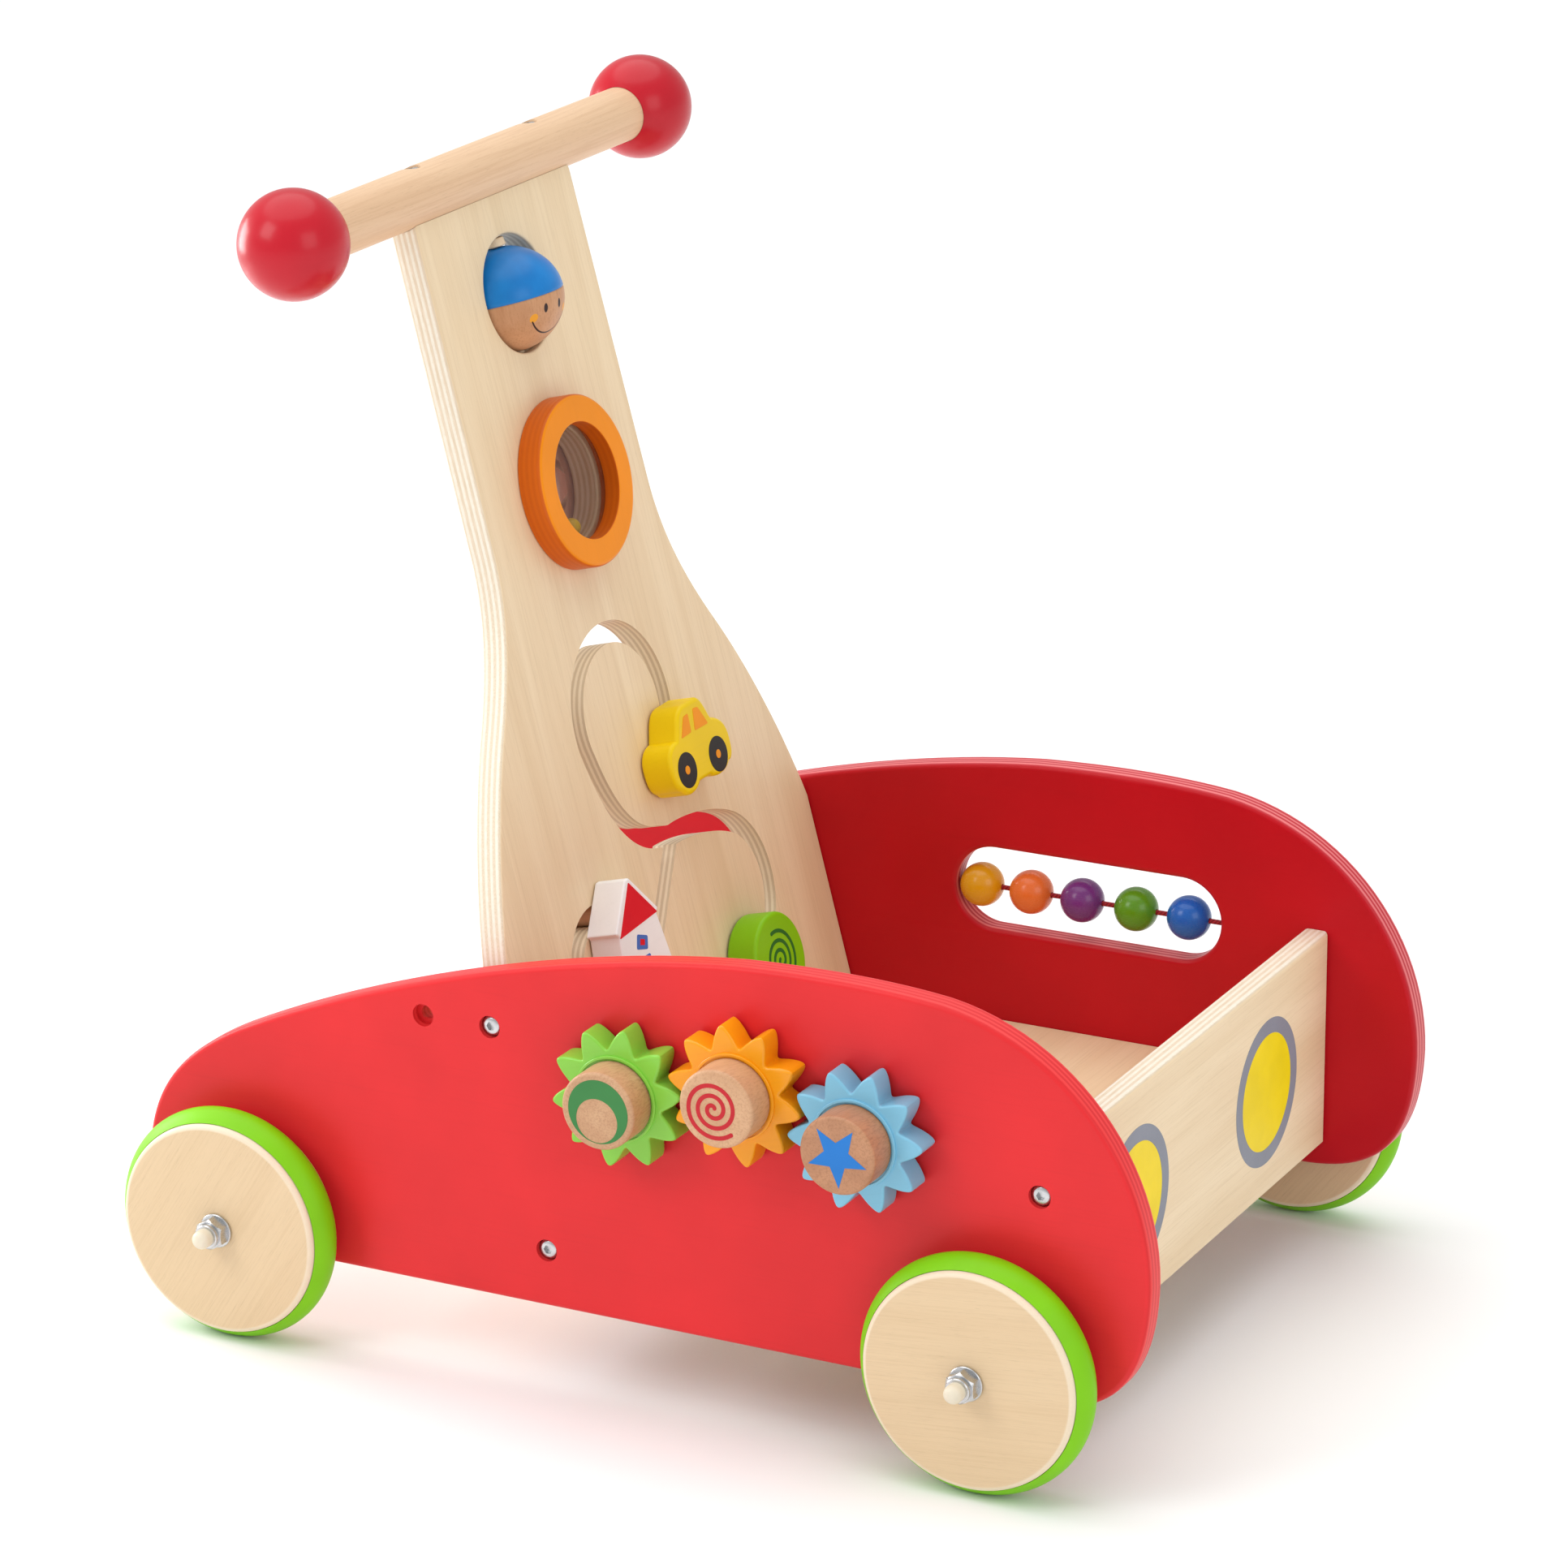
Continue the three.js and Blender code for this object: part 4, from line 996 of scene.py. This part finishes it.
KNOB_FACES = {colour: gear_set(colour) for colour in GEARS}
CRESCENT = [circle(0.4, 0, 13.5), circle(-0.2, -3.9, 9.3)]
decal("crescent_print", CRESCENT, *KNOB_FACES["green"], "beech", INK["dark_green"])
SWIRL = [(x - 1, y) for x, y in spiral_line(0.9, 12.4, 2.75, 40)]
decal("swirl_print", [ribbon(SWIRL, 1.8)], *KNOB_FACES["orange"], "beech", INK["red"])
decal("star_print", [star_outline(13.4, 5.6, -14)], *KNOB_FACES["blue"], "beech", INK["blue"])


# --- turning head ---
FACE_TURN = radians(7)


def head_material():
    """Blue cap above the widest line, bare wood below with eyes, smile and cheeks printed on it."""
    p = Paint("head_cap_and_face")
    middle = PLANK @ Vector((0, HEAD_V, 0))
    local = p.vector("SUBTRACT", p.at, tuple(middle))
    across = Vector((0, 1, 0))
    ahead = cos(FACE_TURN) * N_AXIS - sin(FACE_TURN) * across
    sideways = cos(FACE_TURN) * across + sin(FACE_TURN) * N_AXIS
    u = p.dot(local, sideways)
    v = p.dot(local, V_AXIS)
    w = p.dot(local, ahead)
    figure, streak, pore = grain(p, p.rotate(p.at, (0, 1, 0), LEAN), 1.4)
    skin = p.mix(p.span(figure, 0.35, 0.65), rgb(204, 154, 114), rgb(186, 134, 94))
    skin = p.mix(p.span(streak, 0.45, 0.7, 0, 0.5, True), skin, rgb(176, 124, 84))
    skin = p.mix(p.span(pore, 0.6, 0.75, 0, 0.4, True), skin, rgb(140, 92, 58))
    front = p.span(w, 0, 1)

    def blot(cu, cv, ru, rv, soft=0.12):
        du = p.math("DIVIDE", p.minus(u, cu), ru)
        dv = p.math("DIVIDE", p.minus(v, cv), rv)
        d = p.math("SQRT", p.plus(p.times(du, du), p.times(dv, dv)))
        return p.times(p.span(d, 1 + soft, 1 - soft, 0, 1, True), front)

    face = skin
    for side in (-1, 1):
        face = p.mix(blot(side * 10.2, -8.3, 1.75, 1.75), face, rgb(232, 158, 40))
        face = p.mix(blot(side * 4.6, -5.5, 1.05, 1.9), face, rgb(48, 30, 28))
    dv = p.minus(v, -4.1)
    radius = p.math("SQRT", p.plus(p.times(u, u), p.times(dv, dv)))
    band = p.span(p.math("ABSOLUTE", p.minus(radius, 12.0)), 0.36, 0.2, 0, 1, True)
    below = p.span(v, -9.3, -9.7, 0, 1, True)
    face = p.mix(p.times(p.times(band, below), front), face, rgb(52, 32, 30))
    cloud = p.noise(p.at, 0.08, 3.0)
    cap = p.mix(p.span(cloud, 0.3, 0.7), rgb(14, 112, 186), rgb(20, 126, 202))
    p.colour(p.mix(p.span(v, -0.08, 0.08, 0, 1), face, cap))
    p.rough(p.span(v, -0.1, 0.1, 0.46, 0.34))
    p.bump(streak, 0.08)
    p.coat(0.1, 0.25)
    p.set("Specular IOR Level", 0.25)
    return p.material


def head():
    """Egg-like head with a fine groove at the cap's rim, on a pin with a tapered collar above it."""
    bore, steps, flat = HEAD_PIN_R + GAP, 20, 0.12
    groove, deep = 0.45, 0.35
    profile = [(bore, flat - HEAD_BOTTOM)]
    for i in range(2, steps):
        a = -pi / 2 * (1 - i / steps)
        profile.append((HEAD_R * cos(a), HEAD_BOTTOM * sin(a)))
    profile += [(HEAD_R, -groove), (HEAD_R - deep, -0.1), (HEAD_R - deep, 0.1), (HEAD_R, groove)]
    for i in range(1, steps - 1):
        a = pi / 2 * i / steps
        profile.append((HEAD_R * cos(a), HEAD_TOP * sin(a)))
    profile.append((bore, HEAD_TOP - flat))
    o = lathe("head", profile)
    place = on_plank(0, HEAD_V, 0) @ UPWARD
    finish(o, "turning_head", place, "head", head_material(), ["head"], 50)
    seat, crown = HEAD_TOP + GAP, HEAD_HOLE_V + HEAD_HOLE_R - 0.9 - HEAD_V
    r, bevel = HEAD_PIN_R, 0.3
    pin = lathe("pin", [(0, HEAD_PIN_LOW), (r, HEAD_PIN_LOW), (r, seat), (5.0, seat), (5.3, seat + bevel),
                        (4.7, crown - bevel), (4.4, crown), (r, crown), (r, HEAD_PIN_HIGH),
                        (0, HEAD_PIN_HIGH)], 48)
    finish(pin, "head_spindle", place, "frame", MAT["pin"], ["head_pin"], 40)


head()


# --- ring window ---
def window_ring(name, depth, sign, material, node):
    """Ring on the post's face, in front (sign 1) or behind, with a step behind it for a disc."""
    seat = RING_BORE_R + RING_STEP
    r, fine = RING_ROUND, 0.5
    profile = [(seat, 0), (RING_R - fine, 0), (RING_R, fine)]
    profile += arc(RING_R - r, depth - r, r, 0, 90, 7)
    profile += arc(RING_BORE_R + fine, depth - fine, fine, 90, 180, 4)
    profile += [(RING_BORE_R, RING_SEAT), (seat, RING_SEAT)]
    o = lathe(name, profile, 128)
    place = on_plank(0, RING_V, sign * (PLY / 2 + 0.1)) @ Matrix.Diagonal((1, sign, sign, 1))
    finish(o, name, place, "frame", material, [node], 35)


window_ring("porthole_ring", 11.2, 1, MAT["ring"], "ring_front")
window_ring("rear_ring", 14.2, -1, MAT["ring_rear"], "ring_rear")


def window_discs():
    """Brown-tinted pane in front, its tint partly painted shade for the bore, and, behind the post's bore,
    a mirror disc with a six-sided boss.
    """
    r, e, t = RING_BORE_R + RING_STEP - GAP, 0.3, WINDOW_T
    rim = arc(r - e, e, e, -90, 0, 2) + arc(r - e, t - e, e, 0, 90, 2)
    pane = lathe("pane", [(0, 0)] + rim + [(0, t)])
    finish(pane, "front_pane", on_plank(0, RING_V, PLY / 2 + WINDOW_SET), "frame",
           MAT["clear"], ["window_front"])
    mirror = lathe("mirror", [(0, -t), (r, -t), (r, 0), (0, 0)])
    foot, top, high = 20, 8, 9
    boss = lathe("boss", [(0, -1), (foot, -1), (foot, 0.5), (top, high), (0, high)], 6, 0.35)
    carve(mirror, boss, operation="UNION")
    finish(mirror, "facet_mirror", on_plank(0, RING_V, -PLY / 2 - WINDOW_SET), "frame",
           MAT["mirror"], ["window_rear"], 12, False)


window_discs()


def ball_profile(r, steps=24, bore=0.0):
    """Ball turned about local z, with or without a bore."""
    a0 = asin(bore / r) if bore else 0.0
    angles = [a0 + (pi - 2 * a0) * i / steps for i in range(steps + 1)]
    points = [(r * sin(a), -r * cos(a)) for a in angles]
    if not bore:
        points[0], points[-1] = (0, -r), (0, r)
    return points


def rattle_ball(word, angle, colour):
    reach = RING_BORE_R - RATTLE_R - 2 * GAP
    place = on_plank(*polar(reach, radians(angle), 0, RING_V), RATTLE_W)
    paint = painted("rattle_paint_" + word, colour, 0.3)
    finish(lathe("rattle", ball_profile(RATTLE_R), 48), "rattle_ball_" + word, place,
           "rattle_" + word, paint, ["rattle_bead_" + word], 60)


rattle_ball("red", -102.5, rgb(205, 30, 50))
rattle_ball("yellow", -77.5, rgb(238, 205, 20))


# --- track blocks ---
CAR_DROP = 1.6            # of the car's outline below its peg
CAR_OUTLINE = path(
    (-26, -6), [(-26.6, 1), (-22, 4.8), (-16.5, 4.9)],
    [(-13.5, 10), (-12.5, 17.2), (-5, 17.8)], [(6.5, 17.9)],
    [(11, 17.5), (13, 10), (15.2, 6.6)], [(22.5, 4.5), (26.5, 1.5), (26.6, -6)],
    [(26.6, -12), (25.6, -14.8), (21.6, -15.2)], [(18.5, -18.8), (9, -19.4), (4.5, -16.2)],
    [(-5, -16.2)], [(-9.5, -20.4), (-17.5, -20.4), (-20.4, -16.6)],
    [(-24.4, -15), (-25.8, -11), (-26, -6)], steps=12)
HOUSE_OUTLINE = [(-20.4, -29.6), (20.2, -29.6), (16, -6), (18.2, -4.4), (1.2, 14), (-1.8, 14),
                 (-18.4, -4.8), (-16.2, -6.4)]
SPIRAL_R = 21.3
BLOCK_MIDDLE = PLY / 2 + BLOCK_GAP + BLOCK_T / 2


def block(word, outline, edge=1.8):
    """Block on its peg, in its resting place; gives the place of its printed face."""
    name = word + "_block"
    o = plate(name, [outline], BLOCK_T, edge, 3)
    place = on_plank(*PEGS[word], BLOCK_MIDDLE)
    finish(o, name, place, "block_" + word, MAT[word], ["block_" + word])
    return place @ Matrix.Translation((0, 0, BLOCK_T / 2))


def rounded(points, r, steps=4):
    """Outline with its corners cut round."""
    out = []
    for i, point in enumerate(points):
        a, b = Vector(points[i - 1]), Vector(points[(i + 1) % len(points)])
        c = Vector(point)
        da, db = (a - c).normalized() * r, (b - c).normalized() * r
        for k in range(steps + 1):
            t = k / steps
            q = (c + da) * (1 - t) ** 2 + c * 2 * t * (1 - t) + (c + db) * t * t
            out.append((q.x, q.y))
    return out


car_face = block("car", [(x, y - CAR_DROP) for x, y in CAR_OUTLINE])
house_face = block("house", rounded(HOUSE_OUTLINE, 0.9), 0.9)
spiral_face = block("spiral", circle(0, 0, SPIRAL_R))


def car_prints():
    on_car = (car_face, "block_car", "yellow_paint")
    for word, cx, cy in (("rear", -13.9, -10.3), ("front", 13.4, -11.1)):
        decal("car_tyre_" + word, [circle(cx, cy, 7.7)], *on_car, INK["black"])
        decal("car_hub_" + word, [circle(cx, cy, 1.9, 32)], *on_car, INK["orange"], 0.2)
    rear = [(-12.6, 3.2), (-3.6, 3.6), (-3.2, 11.9), (-7.4, 11.4)]
    front = [(-0.6, 3.4), (11.2, 3.3), (5.8, 12.2), (1.6, 12.6)]
    decal("car_window_rear", [rounded(rear, 1.0)], *on_car, INK["orange"])
    decal("car_window_front", [rounded(front, 1.0)], *on_car, INK["orange"])


def house_prints():
    on_house = (house_face, "block_house", "white_paint")
    roof = rounded([(-16.4, -7.4), (16.4, -5.6), (-0.2, 12.4)], 0.7)
    decal("house_roof", [roof], *on_house, INK["house_red"])
    tilted = [(-2.6, 4.2), (5.1, 1.4), (2.9, -4.0), (-5.5, -1.6)]
    level = [(-4.1, 3.8), (4.1, 3.8), (4.1, -3.8), (-4.1, -3.8)]
    inset = 0.42
    for word, cx, cy, pane in (("top", -0.5, -13.7, tilted), ("low", -0.7, -23.4, level)):
        outline = rounded([(cx + x, cy + y) for x, y in pane], 1.0)
        decal("house_window_" + word, [outline], *on_house, INK["house_blue"])
        light = rounded([(cx + x * inset, cy + y * inset) for x, y in pane], 0.3)
        decal("house_light_" + word, [light], *on_house, INK["house_red"], 0.2)


car_prints()
house_prints()
decal("snail_print", [ribbon(spiral_line(1.0, 13.2, 2.9, 140), 1.7)], spiral_face, "block_spiral",
      "spiral_green_paint", INK["spiral_green"])


def track_peg(word):
    """Peg with a rear flange, a shank that fills the slot's width and a thin pin let into its block."""
    back, flange_r, flange_t, e = -PLY / 2 - BLOCK_GAP, 10, 4, 1.2
    shank_r, pin_r, pin_end = 4.25, 2.6, 15
    profile = [(0, back - flange_t)] + arc(flange_r - e, back - flange_t + e, e, -90, 0, 4)
    profile += [(flange_r, back - 0.3), (flange_r - 0.3, back), (shank_r, back), (shank_r, PLY / 2),
                (pin_r, PLY / 2), (pin_r, pin_end), (0, pin_end)]
    finish(lathe("peg", profile, 64), "peg_pin_" + word, on_plank(*PEGS[word], 0),
           "peg_" + word, MAT["peg"], ["peg_" + word], 35)


for word in PEGS:
    track_peg(word)


# --- beads on their cord ---
BEADS = {"yellow": (23.55, rgb(222, 158, 16)), "orange": (47.35, rgb(226, 112, 48)),
         "purple": (71.85, rgb(112, 48, 122)), "green": (97.55, rgb(88, 146, 22)),
         "blue": (122.55, rgb(24, 94, 184))}
CORD_R, CORD_SUNK = 1.1, 7


def slot_beads():
    for word, (x, colour) in BEADS.items():
        o = lathe("bead", ball_profile(BEAD_R, 36, CORD_R + GAP), 64)
        paint = painted("bead_paint_" + word, colour, 0.26, coat=0.4, bump=0.04)
        finish(o, "slot_bead_" + word, facing_front(x, MID_Y, BEAD_Z), "bead_" + word,
               paint, ["bead_" + word], 50)


def bead_string():
    low, high, steps = SLOT[0] - CORD_SUNK, SLOT[1] + CORD_SUNK, 60
    side = [(CORD_R, low + (high - low) * i / steps) for i in range(steps + 1)]
    o = lathe("cord", [(0, low)] + side + [(0, high)], 16)
    finish(o, "bead_string", facing_front(0, MID_Y, BEAD_Z), "frame",
           MAT["cord"], ["bead_cord"], 60)


slot_beads()
bead_string()

# The gears' pins show only in the gap behind the gears, so the CAD pins stay, in steel.
for colour in GEARS:
    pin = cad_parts["gear_pin_" + colour]
    pin.data.materials.clear()
    pin.data.materials.append(MAT["steel"])


# --- studio ---
def studio():
    bpy.ops.mesh.primitive_plane_add(size=60)
    ground = bpy.context.object
    ground.name = "studio_floor"
    p = Paint("studio_paper")
    p.colour(p.mix(p.noise(p.at, 0.002, 2.0), (0.88, 0.88, 0.88, 1), (0.9, 0.9, 0.9, 1)))
    p.rough(0.9)
    p.set("Specular IOR Level", 0.1)
    ground.data.materials.append(p.material)
    world = bpy.data.worlds.new("studio_air")
    bpy.context.scene.world = world
    world.use_nodes = True
    background = world.node_tree.nodes["Background"]
    background.inputs["Color"].default_value = (1, 1, 1, 1)
    background.inputs["Strength"].default_value = 0.62

    def lamp(name, kind, position, power, size=None, angle=None):
        data = bpy.data.lights.new(name, kind)
        data.energy = power
        if size:
            data.shape = "RECTANGLE"
            data.size, data.size_y = size
        if angle:
            data.angle = radians(angle)
        o = thing(name, data)
        aim = Vector((0, 0, 0.2)) - Vector(position)
        o.rotation_euler = aim.to_track_quat("-Z", "Y").to_euler()
        o.location = position
        o.visible_camera = False

    lamp("sky", "SUN", (-0.5, 0.4, 3.0), 1.75, angle=75)
    lamp("key", "AREA", (-1.0, -1.5, 1.5), 11, (0.9, 0.9))
    lamp("fill", "AREA", (1.9, -1.0, 1.2), 8, (1.2, 1.2))
    lamp("rear", "AREA", (-1.2, -0.05, 0.45), 7, (0.5, 0.5))
    bpy.context.scene.view_settings.view_transform = "Standard"
    bpy.context.scene.view_settings.look = "None"


studio()
